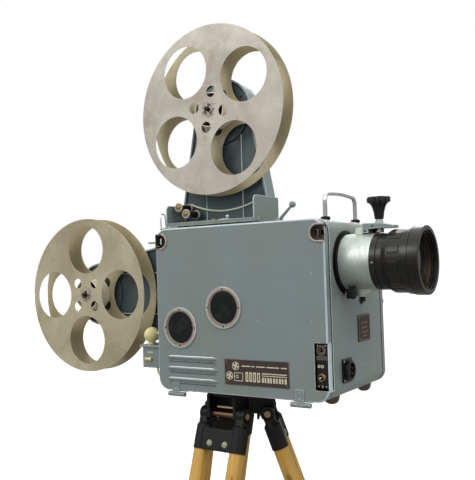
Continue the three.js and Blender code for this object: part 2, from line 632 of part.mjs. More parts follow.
function legSocket() {
  let socket = box([-POLE.spacing, POLE.spacing], [-11, 11], [SOCKET.bottom, SOCKET.webTop]);
  for (const side of [-1, 1]) {
    const centre = at(side * POLE.spacing, 0, 0);
    const ear = [side * KNUCKLE.inner, side * KNUCKLE.outer].sort((a, b) => a - b);
    const { sides } = POLE;
    socket = join(socket, rod('z', centre, [SOCKET.bottom, SOCKET.top + 4], SOCKET.radius, { sides }),
      rod('z', centre, [SOCKET.top + 3.9, -17], SOCKET.radius, { end: 11, sides }),
      rod('x', at(0, 0, 0), ear, KNUCKLE.radius, { sides: 10 }), box(ear, [-11, 11], [-28, 0]));
  }
  for (const side of [-1, 1]) {
    const centre = at(side * POLE.spacing, 0, 0);
    const bore = POLE.radius + CLEARANCE;
    socket = cut(socket, rod('z', centre, [SOCKET.bottom - 1, SOCKET.top + CLEARANCE], bore,
      { sides: POLE.sides }));
  }
  return cut(socket, rod('x', at(0, 0, 0), [-80, 80], KNUCKLE.pin + CLEARANCE, { sides: 10 }));
}

function legPole(side) {
  return rod('z', at(side * POLE.spacing, 0, 0), [POLE.bottom, POLE.top], POLE.radius, { sides: POLE.sides });
}

function legCollar() {
  const [low, high] = [POLE.bottom - 4, POLE.bottom + 46];
  const rings = [-1, 1].map((side) => rod('z', at(side * POLE.spacing, 0, 0), [low, high], SOCKET.radius,
    { sides: POLE.sides }));
  const block = box([-40, 40], [-17, 17], [low, high]);
  const bores = [-1, 1].map((side) => rod('z', at(side * POLE.spacing, 0, 0),
    [POLE.bottom - CLEARANCE, high + 1], POLE.radius + CLEARANCE, { sides: POLE.sides }));
  const [halfWidth, halfDepth] = [BAR.width / 2 + CLEARANCE, BAR.depth / 2 + CLEARANCE];
  const guide = box([-halfWidth, halfWidth], [-halfDepth, halfDepth], [low - 1, high + 1]);
  return cut(join(block, ...rings), guide, ...bores);
}

// The sliding lower bar with its shoe, whose sole is level when the leg is spread.
function legExtension() {
  const [x, y] = [BAR.width / 2, BAR.depth / 2];
  const bar = box([-x, x], [-y, y], [-LEG_LENGTH + 6, BAR.top]);
  const shoe = rod('z', at(0, 0, 0), [0, SHOE.height], SHOE.radius, { sides: 24 });
  return join(bar, shoe.rotate([-TRIPOD.splay, 0, 0]).translate([0, 0, -LEG_LENGTH]));
}

// One leg in its own group, hinged at the group's origin, with its length towards -Z.
function tripodLeg(letter, angle) {
  const place = new THREE.Group();
  place.rotation.z = degrees(angle - 90);
  const radial = degrees(angle);
  place.position.set(TRIPOD.hingeRadius * Math.cos(radial), TRIPOD.hingeRadius * Math.sin(radial),
    TRIPOD.hingeZ);
  const leg = new THREE.Group();
  leg.rotation.x = degrees(TRIPOD.splay);
  place.add(leg);
  const name = (piece) => `leg_${letter}_${piece}`;
  addPart(leg, name('hinge_pin'), hingePin(), copper);
  addPart(leg, name('socket'), legSocket(), blackPaint);
  addPart(leg, name('left_pole'), legPole(-1), wood);
  addPart(leg, name('right_pole'), legPole(1), wood);
  addPart(leg, name('collar'), legCollar(), blackPaint);
  addPart(leg, name('extension'), legExtension(), wood);
  return place;
}

// ---------------------------------------------------------------- assembly

const projector = new THREE.Group();
addPart(projector, 'case_body', caseBody(), paint);
addPart(projector, 'side_cover', sideCover(), paint);
addPart(projector, 'drive_cover', driveCover(), paint);
for (const view of WINDOWS) addPart(projector, view.name, windowPane(view), glass);
addPart(projector, 'nameplate', box(NAMEPLATE.x, [NAMEPLATE.front, -CLEARANCE], NAMEPLATE.z), brownPlate);
for (const catchPiece of LATCHES) addPart(projector, catchPiece.name, latch(catchPiece), steel);
addPart(projector, 'mechanism_plate', mechanismPlate(), paint);
for (const wheel of SPROCKETS) addPart(projector, wheel.name, sprocket(wheel), steel);
addPart(projector, 'film_gate', filmGate(), steel);
addPart(projector, 'lamp_house', lampHouse(), blackPaint);
addPart(projector, 'drive_motor', driveMotor(), blackPaint);
addPart(projector, 'shutter', shutter(), steel);
addPart(projector, 'inching_knob', inchingKnob(), blackPlastic);
addPart(projector, 'lens_sleeve', lensSleeve(), aluminium);
addPart(projector, 'lens_barrel', lensBarrel(), blackPlastic);
addPart(projector, 'lens_glass', lensGlass(), glass);
addPart(projector, 'clamp_bracket', clampBracket(), paint);
addPart(projector, 'clamp_knob', clampKnob(), blackPlastic);
addPart(projector, 'focus_knob', focusKnob(), blackPlastic);
addPart(projector, 'carry_handle', carryHandle(), chrome);
addPart(projector, 'front_connector', frontConnector(), blackPlastic);
addPart(projector, 'switch_panel', switchPanel(), blackPlastic);
addPart(projector, 'toggle_switch', toggleSwitch(), steel);
addPart(projector, 'terminal_box', terminalBox(), paint);
addPart(projector, 'terminal_plug', terminalPlug(), creamPlastic);
addPart(projector, 'upper_lead', upperLead(), creamPlastic);
addPart(projector, 'lower_lead', lowerLead(), creamPlastic);
addPart(projector, 'arm_bracket', armBracket(), paint);
addPart(projector, 'feed_arm', upperArm(), slatePaint);
addPart(projector, 'take_up_arm', lowerArm(), slatePaint);
for (const [name, hub] of [['feed_reel', FEED_HUB], ['take_up_reel', TAKE_UP_HUB]]) {
  addPart(projector, name, reelBody(hub), reelMetal);
  const front = reelFlange(hub, [REEL.frontY, REEL.frontY + REEL.flange], 5.5);
  addPart(projector, `${name}_front_flange`, front, reelMetal);
}
for (const roller of ROLLERS) addPart(projector, roller.name, guideRoller(roller), steel);
addPart(projector, 'ball_lever', ballLever(), paint);

const tripod = new THREE.Group();
tripod.position.set(TRIPOD.x, TRIPOD.y, 0);
addPart(tripod, 'tripod_head', tripodHead(), blackPaint);
['b', 'c', 'a'].forEach((letter, i) => tripod.add(tripodLeg(letter, TRIPOD.firstAngle + 120 * i)));

const model = new THREE.Group();
model.add(projector, tripod);
model.updateMatrixWorld(true);
const extent = new THREE.Box3().setFromObject(model, true);
const centre = extent.getCenter(new THREE.Vector3());
model.position.set(-centre.x, -centre.y, -extent.min.z);

export default model;
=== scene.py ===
"""A 35 mm portable cinema projector on a wooden tripod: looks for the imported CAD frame.

Lengths are in millimetres in the case frame (X from the rear wall to the lens wall, Y from the hinged
cover to the drive side, Z up from the case floor) until piece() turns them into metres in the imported
frame.
"""
import math
import random

import bmesh
import bpy
from mathutils import Matrix, Vector


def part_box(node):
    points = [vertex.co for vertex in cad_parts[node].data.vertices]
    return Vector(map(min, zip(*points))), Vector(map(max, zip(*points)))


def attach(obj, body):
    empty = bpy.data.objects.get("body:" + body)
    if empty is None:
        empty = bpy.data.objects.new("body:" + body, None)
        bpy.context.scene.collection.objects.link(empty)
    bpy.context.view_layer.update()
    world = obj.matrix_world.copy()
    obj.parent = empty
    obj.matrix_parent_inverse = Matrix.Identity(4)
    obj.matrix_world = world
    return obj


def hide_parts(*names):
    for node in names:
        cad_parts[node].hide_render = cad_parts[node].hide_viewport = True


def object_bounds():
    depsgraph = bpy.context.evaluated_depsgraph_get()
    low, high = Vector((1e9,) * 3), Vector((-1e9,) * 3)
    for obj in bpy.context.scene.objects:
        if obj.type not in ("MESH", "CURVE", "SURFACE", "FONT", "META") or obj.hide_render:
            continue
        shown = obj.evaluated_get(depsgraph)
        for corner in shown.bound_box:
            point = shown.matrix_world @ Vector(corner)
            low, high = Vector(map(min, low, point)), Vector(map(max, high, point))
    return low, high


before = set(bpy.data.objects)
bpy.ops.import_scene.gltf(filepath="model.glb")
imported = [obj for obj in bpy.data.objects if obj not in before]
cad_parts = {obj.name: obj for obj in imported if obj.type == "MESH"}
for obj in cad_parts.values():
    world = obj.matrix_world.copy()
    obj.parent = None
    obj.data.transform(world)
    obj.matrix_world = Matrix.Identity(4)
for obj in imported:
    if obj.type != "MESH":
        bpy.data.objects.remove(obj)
cad_low, cad_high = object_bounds()
scene = bpy.context.scene
random.seed(35)

# ---------------------------------------------------------------- driving dimensions

DRIVE_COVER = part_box("drive_cover")
D = 286
CORNER = Vector((DRIVE_COVER[0].x, DRIVE_COVER[1].y - D / 1000, DRIVE_COVER[0].z))
W, H = (round(1000 * (DRIVE_COVER[1][k] - DRIVE_COVER[0][k])) for k in (0, 2))
R_CASE = 27
COVER_DEPTH = 16
FILM_Y = 96.8
LENS_Z = 261.9
FEED_HUB = Vector((99.6, 0, 612))
TAKE_UP_HUB = Vector((-290, 0, 202.4))
REEL_R = 190
FLANGE_Y = (74.3, 75.6, 118.6, 119.9)
ARM_Y = (125, 162)
TRIPOD = Vector((144.7, 102.3, 0))
HINGE_Z, HINGE_RADIUS, SPLAY = -50, 60, 18.9
LEGS = {"a": 267.9, "b": 27.9, "c": 147.9}
POLE_X, POLE_R = 45.5, 16
SOCKET_R, SOCKET_LOW = 18, -76
LEG_LENGTH = 920
DOME_POWER, DOME_HORIZON = 1.55, 0.26
CAMERA_PLACE, CAMERA_LENS = Vector((975.4, -1173.1, 255.7)), 51.85
CAMERA_TURN = (32.96, 2.396, -1.718)
WINDOWS = {"rear": (63, 134.6), "front": (175.4, 177.5)}
SWITCH_X, SOCKET_Z, MARKS_Z, TOGGLE_Z = 391, 98, 68, 47
INCHING_X, INCHING_Z = 390, 175
CONNECTOR_Y, CONNECTOR_Z = 80, 52
FOCUS_KNOB = Vector((429, 0, 201))


# ---------------------------------------------------------------- materials

def srgb(red, green, blue):
    """Linear colour of an 8-bit sRGB one."""
    def linear(value):
        value /= 255
        return value / 12.92 if value <= 0.04045 else ((value + 0.055) / 1.055) ** 2.4
    return (linear(red), linear(green), linear(blue), 1)


class Shader:
    """A node material under construction."""

    def __init__(self, name):
        self.material = bpy.data.materials.new(name)
        self.material.use_nodes = True
        self.tree = self.material.node_tree
        self.surface = self.tree.nodes["Principled BSDF"]
        self.place = self.add("ShaderNodeTexCoord").outputs["Object"]

    def add(self, kind, inputs=None, **settings):
        node = self.tree.nodes.new(kind)
        for key, value in settings.items():
            setattr(node, key, value)
        for key, value in (inputs or {}).items():
            if isinstance(value, bpy.types.NodeSocket):
                self.tree.links.new(value, node.inputs[key])
            else:
                node.inputs[key].default_value = value
        return node

    def stretched(self, scale, place=None):
        """Coordinates scaled differently along X, Y and Z."""
        node = self.add("ShaderNodeVectorMath", {0: place or self.place, 1: scale},
                        operation="MULTIPLY")
        return node.outputs["Vector"]

    def noise(self, scale, detail=4, place=None, roughness=0.55, distortion=0):
        node = self.add("ShaderNodeTexNoise", {
            "Vector": place or self.place, "Scale": scale, "Detail": detail,
            "Roughness": roughness, "Distortion": distortion})
        return node.outputs["Fac"]

    def ramp(self, value, low, high, start=0, end=1):
        """value rescaled from low..high to start..end, clamped."""
        node = self.add("ShaderNodeMapRange", {
            "Value": value, "From Min": low, "From Max": high, "To Min": start, "To Max": end})
        return node.outputs["Result"]

    def times(self, first, second):
        return self.add("ShaderNodeMath", {0: first, 1: second}, operation="MULTIPLY").outputs[0]

    def most(self, first, second):
        return self.add("ShaderNodeMath", {0: first, 1: second}, operation="MAXIMUM").outputs[0]

    def blend(self, factor, first, second):
        node = self.add("ShaderNodeMix", data_type="RGBA")
        for socket, value in zip((node.inputs[0], node.inputs[6], node.inputs[7]),
                                 (factor, first, second)):
            if isinstance(value, bpy.types.NodeSocket):
                self.tree.links.new(value, socket)
            else:
                socket.default_value = value
        return node.outputs[2]

    def edges(self, radius, low=0.02, high=0.2):
        """1 on convex edges, 0 on flat faces."""
        bevel = self.add("ShaderNodeBevel", {"Radius": radius}, samples=4)
        plain = self.add("ShaderNodeNewGeometry")
        dot = self.add("ShaderNodeVectorMath", {0: bevel.outputs[0], 1: plain.outputs["Normal"]},
                       operation="DOT_PRODUCT")
        return self.ramp(dot.outputs["Value"], 1 - low, 1 - high)

    def bump(self, height, distance, strength=1.0):
        node = self.add("ShaderNodeBump",
                        {"Height": height, "Distance": distance, "Strength": strength})
        self.tree.links.new(node.outputs[0], self.surface.inputs["Normal"])

    def set(self, **inputs):
        """Sets or links inputs of the surface shader; Base_Color stands for Base Color."""
        for key, value in inputs.items():
            socket = self.surface.inputs[key.replace("_", " ")]
            if isinstance(value, bpy.types.NodeSocket):
                self.tree.links.new(value, socket)
            else:
                socket.default_value = value
        return self.material


def enamel(name, colour, cool, chip_highlight_colour, roughness=0.42, wear_highlight=0.5, mottle=0.10, shine=0.5, coat=0.15):
    """Stoved enamel: slow drift of tint, fine orange peel, dust, and on the edges chips mixed with a
    painted highlight.
    """
    s = Shader(name)
    drift = s.ramp(s.noise(5, 3), 0.35, 0.68)
    colour_now = s.blend(drift, colour, cool)
    dust = s.ramp(s.noise(24, 6, roughness=0.7), 0.42, 0.75, 0, mottle * 2)
    colour_now = s.blend(dust, colour_now, tuple(min(1, c * 1.35) for c in colour[:3]) + (1,))
    specks = s.ramp(s.noise(420, 2), 0.70, 0.76)
    colour_now = s.blend(s.times(specks, 0.35), colour_now, tuple(c * 0.45 for c in colour[:3]) + (1,))
    # edge mark: chipped paint together with a painted highlight on the rounded edges
    worn_edge_highlight = s.times(s.edges(0.0026, 0.01, 0.12), s.ramp(s.noise(60, 5, roughness=0.7), 0.38, 0.50))
    colour_now = s.blend(s.times(worn_edge_highlight, wear_highlight), colour_now, chip_highlight_colour)
    rough = s.ramp(s.noise(14, 4), 0.3, 0.7, roughness - 0.06, roughness + 0.08)
    s.bump(s.noise(900, 1), 0.00006, 0.5)
    return s.set(Base_Color=colour_now, Roughness=rough, Specular_IOR_Level=shine, Coat_Weight=coat,
                 Coat_Roughness=0.25)


def metal(name, colour, dark, roughness=0.3, scratch=(40, 40, 900), stain=0.4, metallic=1.0):
    """Bare or plated metal with brushing along one direction and cloudy stains."""
    s = Shader(name)
    cloud = s.ramp(s.noise(18, 5, roughness=0.65), 0.45, 0.75, 0, stain)
    brushed = s.noise(1, 2, place=s.stretched(scratch))
    rough = s.ramp(brushed, 0.3, 0.7, roughness - 0.07, roughness + 0.10)
    s.bump(brushed, 0.00004, 0.4)
    return s.set(Base_Color=s.blend(cloud, colour, dark), Roughness=rough, Metallic=metallic)


def reel_metal(name, hub, light, dark):
    """Dull tinned steel with blotches, smears and rust round the spindle."""
    s = Shader(name)
    cloud = s.ramp(s.noise(7, 5, roughness=0.6, distortion=0.6), 0.38, 0.66)
    colour = s.blend(cloud, light, dark)
    smear = s.ramp(s.noise(13, 6, roughness=0.72, distortion=0.8), 0.54, 0.70)
    colour = s.blend(s.times(smear, 0.5), colour, srgb(140, 122, 92))
    fine = s.ramp(s.noise(160, 4, roughness=0.8), 0.5, 0.75)
    colour = s.blend(s.times(fine, 0.22), colour, srgb(205, 199, 182))
    centre = tuple(CORNER + hub / 1000)
    flat = s.add("ShaderNodeVectorMath", {0: s.place, 1: centre}, operation="SUBTRACT").outputs[0]
    flat = s.add("ShaderNodeVectorMath", {0: flat, 1: (1, 0, 1)}, operation="MULTIPLY").outputs[0]
    reach = s.add("ShaderNodeVectorMath", {0: flat}, operation="LENGTH").outputs["Value"]
    rust = s.times(s.ramp(reach, 0.022, 0.012), s.ramp(s.noise(190, 3, roughness=0.7), 0.46, 0.54))
    colour = s.blend(rust, colour, srgb(58, 44, 38))
    specks = s.times(s.ramp(s.noise(300, 3), 0.66, 0.72), s.ramp(s.noise(16, 2), 0.45, 0.62))
    colour = s.blend(s.times(specks, 0.8), colour, srgb(92, 66, 44))
    colour = s.blend(s.times(s.edges(0.0016, 0.02, 0.2), 0.7), colour, srgb(214, 208, 194))
    rough = s.ramp(s.noise(30, 5), 0.3, 0.7, 0.38, 0.58)
    s.bump(s.noise(70, 5), 0.0002, 0.25)
    return s.set(Base_Color=colour, Roughness=rough, Metallic=0.15)


def varnished_wood(name):
    """Yellow varnished ash, with its grain along the leg, from each mesh's own grain coordinates."""
    s = Shader(name)
    grain = s.add("ShaderNodeAttribute", attribute_name="grain").outputs["Vector"]
    long = s.stretched((1, 1, 0.045), grain)
    rings = s.ramp(s.noise(70, 4, place=long, roughness=0.6, distortion=0.8), 0.36, 0.66)
    colour = s.blend(rings, srgb(208, 165, 72), srgb(178, 134, 54))
    streak = s.ramp(s.noise(260, 3, place=long), 0.52, 0.74)
    colour = s.blend(s.times(streak, 0.5), colour, srgb(132, 92, 40))
    patch = s.ramp(s.noise(9, 4, place=s.stretched((1, 1, 0.35), grain)), 0.50, 0.75)
    colour = s.blend(s.times(patch, 0.5), colour, srgb(198, 162, 88))
    knots = s.ramp(s.noise(26, 2, place=s.stretched((1, 1, 0.4), grain)), 0.68, 0.76)
    colour = s.blend(s.times(knots, 0.8), colour, srgb(98, 58, 26))
    s.bump(s.noise(180, 3, place=long), 0.0002, 0.25)
    rough = s.ramp(s.noise(20, 3, place=grain), 0.3, 0.7, 0.34, 0.5)
    return s.set(Base_Color=colour, Roughness=rough, Coat_Weight=0.35, Coat_Roughness=0.2)


def dull_black(name, colour=(28, 27, 25), high=(64, 56, 48), roughness=0.42, metallic=0.0, coat=0.0,
               shine=0.5):
    """Black lacquer or moulded plastic, browned where hands polish it, the brown also a painted sheen.
    """
    s = Shader(name)
    # the high colour is polish brown and a painted sheen at once, laid in random patches and on the
    # edges
    rub_and_sheen = s.ramp(s.noise(22, 5, roughness=0.7), 0.45, 0.72)
    worn_edge_highlight = s.times(s.edges(0.0012), 0.6)
    colour_now = s.blend(s.most(s.times(rub_and_sheen, 0.35), worn_edge_highlight), srgb(*colour), srgb(*high))
    rough = s.ramp(s.noise(35, 4), 0.3, 0.7, roughness - 0.08, roughness + 0.1)
    s.bump(s.noise(500, 2), 0.00005, 0.4)
    return s.set(Base_Color=colour_now, Roughness=rough, Metallic=metallic, Coat_Weight=coat,
                 Specular_IOR_Level=shine)


def aged_cream(name):
    """Cream plastic, browned by dirt in random patches."""
    s = Shader(name)
    dirt = s.ramp(s.noise(60, 5, roughness=0.7), 0.45, 0.7)
    colour = s.blend(s.times(dirt, 0.6), srgb(222, 212, 158), srgb(170, 152, 96))
    s.bump(s.noise(300, 3), 0.0001, 0.3)
    return s.set(Base_Color=colour, Roughness=s.ramp(s.noise(30, 3), 0.3, 0.7, 0.35, 0.5))


def dark_glass(name, colour=(34, 36, 38)):
    """Glass in front of a dark space, drawn opaque: a near-black tint as painted shade for the inside,
    a clean gloss and faint dust.
    """
    s = Shader(name)
    dust = s.ramp(s.noise(34, 5, roughness=0.7), 0.5, 0.8, 0, 0.3)
    tint = s.blend(dust, srgb(*colour), srgb(70, 74, 76))
    return s.set(Base_Color=tint, Roughness=s.ramp(s.noise(40, 3), 0.3, 0.8, 0.03, 0.12),
                 Specular_IOR_Level=0.3, Coat_Weight=0.1, Coat_Roughness=0.02)


PAINT = enamel("case_enamel", srgb(116, 126, 119), srgb(118, 130, 135), srgb(206, 210, 204), wear_highlight=0.75)
SLATE = enamel("arm_enamel", srgb(64, 76, 80), srgb(56, 70, 78), srgb(110, 120, 122), wear_highlight=0.4)
RIM_PAINT = enamel("arm_rim_enamel", srgb(122, 135, 132), srgb(114, 130, 134), srgb(196, 202, 196),
                   wear_highlight=0.7)
# Light edge paint: worn paint with a painted highlight, for rounded rims and thin edge strips.
EDGE_HIGHLIGHT_PAINT = enamel("rubbed_edge_highlight", srgb(184, 194, 202), srgb(164, 177, 189), srgb(226, 226, 220),
                    mottle=0.35)
# Nearly white paint for the louvre tops: a painted highlight.
CREST_HIGHLIGHT_PAINT = enamel("painted_crest_highlight", srgb(226, 233, 238), srgb(208, 217, 224), srgb(240, 240, 238))
DRUM_PAINT = enamel("drum_white", srgb(236, 229, 208), srgb(224, 212, 182), srgb(244, 240, 230),
                    mottle=0.3)
# Pale paint for the sleeve boss and the film rail: a painted highlight.
PALE_HIGHLIGHT_PAINT = enamel("pale_boss_highlight", srgb(204, 211, 196), srgb(188, 197, 184), srgb(232, 232, 224),
                    mottle=0.3)
IRON = enamel("tripod_black", srgb(19, 19, 18), srgb(15, 15, 15), srgb(96, 92, 82), roughness=0.46,
              wear_highlight=0.5, mottle=0.2, shine=0.22, coat=0)
BEZEL = enamel("bezel_grey", srgb(160, 150, 140), srgb(140, 128, 118), srgb(214, 206, 196), wear_highlight=0.8)
LATCH_PAINT = enamel("latch_brown", srgb(74, 63, 56), srgb(54, 47, 43), srgb(150, 134, 120), wear_highlight=0.6)
SILVER = metal("satin_silver", srgb(204, 212, 208), srgb(160, 164, 158), 0.46, (300, 30, 30), 0.5)
STEEL = metal("machined_steel", srgb(176, 176, 172), srgb(116, 108, 98), 0.32, (60, 700, 60))
CHROME = metal("chrome_plate", srgb(206, 208, 212), srgb(150, 150, 152), 0.09, (60, 60, 60), 0.4)
BRASS = metal("aged_brass", srgb(158, 126, 82), srgb(92, 68, 48), 0.42, (200, 200, 200), 0.8)
BRONZE = metal("dark_bronze", srgb(64, 51, 40), srgb(36, 29, 25), 0.45, (200, 200, 200), 0.8)
COPPER = metal("copper_pin", srgb(130, 100, 84), srgb(84, 64, 54), 0.45, (500, 60, 60), 0.6)
PIN_END = metal("worn_pin_end", srgb(172, 148, 116), srgb(120, 98, 76), 0.5, (300, 300, 300), 0.6, 0.5)
LENS_BLACK = dull_black("lens_lacquer", (13, 12, 10), (56, 46, 36), 0.3, 0.1, 0.05, 0.38)
PLASTIC = dull_black("black_plastic", (12, 12, 13), (40, 40, 40), 0.36, 0.0, 0.0, 0.35)
RUBBER = dull_black("black_rubber", (14, 14, 14), (38, 37, 36), 0.7, shine=0.25)
PLATE_BROWN = enamel("plate_brown", srgb(54, 42, 34), srgb(42, 33, 28), srgb(140, 112, 90), wear_highlight=0.5)
PLATE_CREAM = enamel("plate_cream", srgb(202, 194, 168), srgb(178, 170, 142), srgb(222, 214, 194))
SLEEVE_METAL = metal("sleeve_aluminium", srgb(190, 198, 193), srgb(148, 151, 142), 0.5, (300, 30, 30),
                     0.5)
CREAM = aged_cream("aged_cream")
GLASS = dark_glass("dark_glass", (9, 12, 13))
LENS_GLASS = dark_glass("coated_glass", (22, 18, 20))
WOOD = varnished_wood("varnished_wood")
DARK = dull_black("inner_black", (9, 9, 9), (22, 22, 22), 0.8, shine=0.2)
RUST = metal("rusted_hub", srgb(128, 92, 60), srgb(58, 42, 34), 0.6, (120, 120, 120), 0.8, 0.3)
MACHINE_GREY = enamel("machine_grey", srgb(146, 154, 150), srgb(134, 144, 142), srgb(206, 208, 204),
                      wear_highlight=0.5)
HEAT_BLACK = enamel("heat_black", srgb(40, 40, 41), srgb(52, 47, 44), srgb(128, 118, 106),
                    roughness=0.55, wear_highlight=0.5, mottle=0.2)
BOLT = enamel("bolt_grey", srgb(142, 142, 120), srgb(122, 120, 100), srgb(196, 192, 166), roughness=0.5,
              mottle=0.3)
PALE_ROD = metal("pale_rod", srgb(176, 160, 112), srgb(120, 104, 70), 0.5, (300, 60, 60), 0.7, 0.4)
USUAL_SLOT = {material.name: slot for slot, materials in {
    "case_paint": (PAINT, RIM_PAINT, EDGE_HIGHLIGHT_PAINT, CREST_HIGHLIGHT_PAINT, LATCH_PAINT, MACHINE_GREY),
    "slate_paint": (SLATE,),
    "black_plastic": (RUBBER, DARK, PLASTIC, LENS_BLACK),
    "steel": (STEEL, BRASS, BRONZE, IRON, BOLT),
    "chrome": (CHROME,),
    "aluminium": (SILVER, SLEEVE_METAL, PALE_ROD),
    "brown_plate": (PLATE_BROWN, PLATE_CREAM),
    "glass": (GLASS, LENS_GLASS),
    "cream_plastic": (CREAM,),
    "black_paint": (HEAT_BLACK,),
    "wood": (WOOD,),
    "copper": (COPPER, PIN_END),
    "reel_metal": (DRUM_PAINT, RUST),
}.items() for material in materials}


# ---------------------------------------------------------------- outlines and profiles

def arc(centre, radius, start, end, steps=12):
    """Points on an arc, in degrees, ends included."""
    angles = [math.radians(start + (end - start) * i / steps) for i in range(steps + 1)]
    return [(centre[0] + radius * math.cos(a), centre[1] + radius * math.sin(a)) for a in angles]


def around(count, start=0.0):
    """Angles spread evenly round a full turn."""
    return [math.tau / count * i + start for i in range(count)]


def circle(centre, radius, steps=48):
    return arc(centre, radius, 0, 360, steps)[:-1]


def rounded_box(low, high, radius, steps=8):
    """The outline of a rectangle with round corners."""
    (x0, y0), (x1, y1) = low, high
    corners = ((x1 - radius, y0 + radius, -90), (x1 - radius, y1 - radius, 0),
               (x0 + radius, y1 - radius, 90), (x0 + radius, y0 + radius, 180))
    return [p for x, y, start in corners for p in arc((x, y), radius, start, start + 90, steps)]


def filleted(points, radius, steps=3):
    """An open profile with each inner corner rounded off, the ends kept."""
    result = [points[0]]
    for before, corner, after in zip(points, points[1:], points[2:]):
        corner, before, after = Vector(corner), Vector(before), Vector(after)
        one, two = before - corner, after - corner
        reach = min(radius, one.length * 0.45, two.length * 0.45)
        if reach < 1e-3:
            result.append(tuple(corner))
            continue
        start, end = corner + one.normalized() * reach, corner + two.normalized() * reach
        for i in range(steps + 1):
            t = i / steps
            result.append(tuple((1 - t) ** 2 * start + 2 * t * (1 - t) * corner + t * t * end))
    return result + [points[-1]]


def smooth_path(points, per_span=8):
    """A Catmull-Rom curve through the points."""
    points = [Vector(p) for p in points]
    padded = [2 * points[0] - points[1]] + points + [2 * points[-1] - points[-2]]
    path = []
    for a, b, c, d in zip(padded, padded[1:], padded[2:], padded[3:]):
        for i in range(per_span):
            t = i / per_span
            path.append(0.5 * (2 * b + (c - a) * t + (2 * a - 5 * b + 4 * c - d) * t ** 2
                               + (3 * b - a - 3 * c + d) * t ** 3))
    return path + [points[-1]]


# ---------------------------------------------------------------- solids as bmeshes, in millimetres

AXES = {"x": Matrix(((0, 0, 1), (1, 0, 0), (0, 1, 0))).to_4x4(),
        "y": Matrix(((1, 0, 0), (0, 0, -1), (0, 1, 0))).to_4x4(),
        "z": Matrix.Identity(4)}


def turned(axis, centre, profile, sides=64):
    """A turned solid: profile points are (radius, place along the axis)."""
    bm = bmesh.new()
    sign = -1 if axis == "y" else 1
    rings = []
    closed = profile[0] == profile[-1]
    for radius, place in profile[:-1] if closed else profile:
        place *= sign
        if radius < 1e-6:
            rings.append([bm.verts.new((0, 0, place))])
            continue
        angles = (2 * math.pi * i / sides for i in range(sides))
        rings.append([bm.verts.new((radius * math.cos(a), radius * math.sin(a), place))
                      for a in angles])
    for one, two in zip(rings, rings[1:] + rings[:1] if closed else rings[1:]):
        for i in range(sides):
            j = (i + 1) % sides
            corners = [one[i % len(one)], one[j % len(one)], two[j % len(two)], two[i % len(two)]]
            corners = [v for k, v in enumerate(corners) if v not in corners[:k]]
            if len(corners) > 2:
                bm.faces.new(corners)
    bmesh.ops.recalc_face_normals(bm, faces=bm.faces)
    bm.transform(Matrix.Translation(centre) @ AXES[axis])
    return bm


def lofted(rings):
    """A closed solid through rings of points, each with the same number, and flat ends."""
    bm = bmesh.new()
    rings = [[bm.verts.new(point) for point in ring] for ring in rings]
    for one, two in zip(rings, rings[1:]):
        for k in range(len(one)):
            n = (k + 1) % len(one)
            bm.faces.new((one[k], one[n], two[n], two[k]))
    bm.faces.new(rings[0])
    bm.faces.new(rings[-1])
    bmesh.ops.recalc_face_normals(bm, faces=bm.faces)
    return bm


def rod(axis, centre, span, radius, bevel=0.5, sides=32):
    """A round bar between two places along its axis, which passes through centre."""
    profile = [(0, span[0]), (radius, span[0]), (radius, span[1]), (0, span[1])]
    return turned(axis, centre, filleted(profile, bevel, 2), sides)


def plate(axis, outline, span, holes=(), bevel=0.5, segments=2):
    """A flat plate with its outline across an axis and softened edges."""
    curve = bpy.data.curves.new("outline", "CURVE")
    curve.dimensions = "2D"
    curve.fill_mode = "BOTH"
    for loop in (outline, *holes):
        spline = curve.splines.new("POLY")
        spline.points.add(len(loop) - 1)
        spline.use_cyclic_u = True
        for point, (a, b) in zip(spline.points, loop):
            point.co = (a, b, 0, 1)
    thickness = span[1] - span[0]
    bevel = max(0.02, min(bevel, thickness * 0.45))
    curve.extrude = thickness / 2 - bevel
    curve.bevel_depth = bevel
    curve.bevel_resolution = segments
    curve.offset = -bevel
    holder = bpy.data.objects.new("outline", curve)
    scene.collection.objects.link(holder)
    bm = evaluated_solid(holder)
    bpy.data.objects.remove(holder)
    bpy.data.curves.remove(curve)
    bmesh.ops.remove_doubles(bm, verts=bm.verts, dist=1e-4)
    bmesh.ops.recalc_face_normals(bm, faces=bm.faces)
    middle = (span[0] + span[1]) / 2
    shift = {"x": (middle, 0, 0), "y": (0, middle, 0), "z": (0, 0, middle)}[axis]
    bm.transform(Matrix.Translation(shift) @ AXES[axis])
    return bm


def block(x, y, z, bevel=0.6, segments=2):
    bm = bmesh.new()
    bmesh.ops.create_cube(bm, size=1)
    size = (x[1] - x[0], y[1] - y[0], z[1] - z[0])
    bm.transform(Matrix.Diagonal((*size, 1)))
    if bevel:
        bmesh.ops.bevel(bm, geom=bm.edges[:], offset=min(bevel, min(size) * 0.45), segments=segments,
                        profile=0.5, affect="EDGES")
    bm.transform(Matrix.Translation(((x[0] + x[1]) / 2, (y[0] + y[1]) / 2, (z[0] + z[1]) / 2)))
    return bm


def hoop(axis, centre, radii, span, sides=48):
    """A plain ring with an inner and an outer radius between two places along its axis."""
    (r0, r1), (a0, a1) = radii, span
    return turned(axis, centre, [(r0, a0), (r1, a0), (r1, a1), (r0, a1), (r0, a0)], sides)


def tube(path, radius, sides=16):
    """A round bar along a list of points; radius may be one number or one per point."""
    path = [Vector(p) for p in path]
    radii = radius if isinstance(radius, (list, tuple)) else [radius] * len(path)
    heading = (path[1] - path[0]).normalized()
    across = heading.orthogonal().normalized()
    angles = [2 * math.pi * k / sides for k in range(sides)]
    rings = []
    for i, point in enumerate(path):
        ahead = path[min(i + 1, len(path) - 1)] - path[max(i - 1, 0)]
        turn = heading.rotation_difference(ahead.normalized())
        heading = ahead.normalized()
        across = (turn @ across).normalized()
        other = heading.cross(across)
        rings.append([point + radii[i] * (math.cos(a) * across + math.sin(a) * other) for a in angles])
    return lofted(rings)


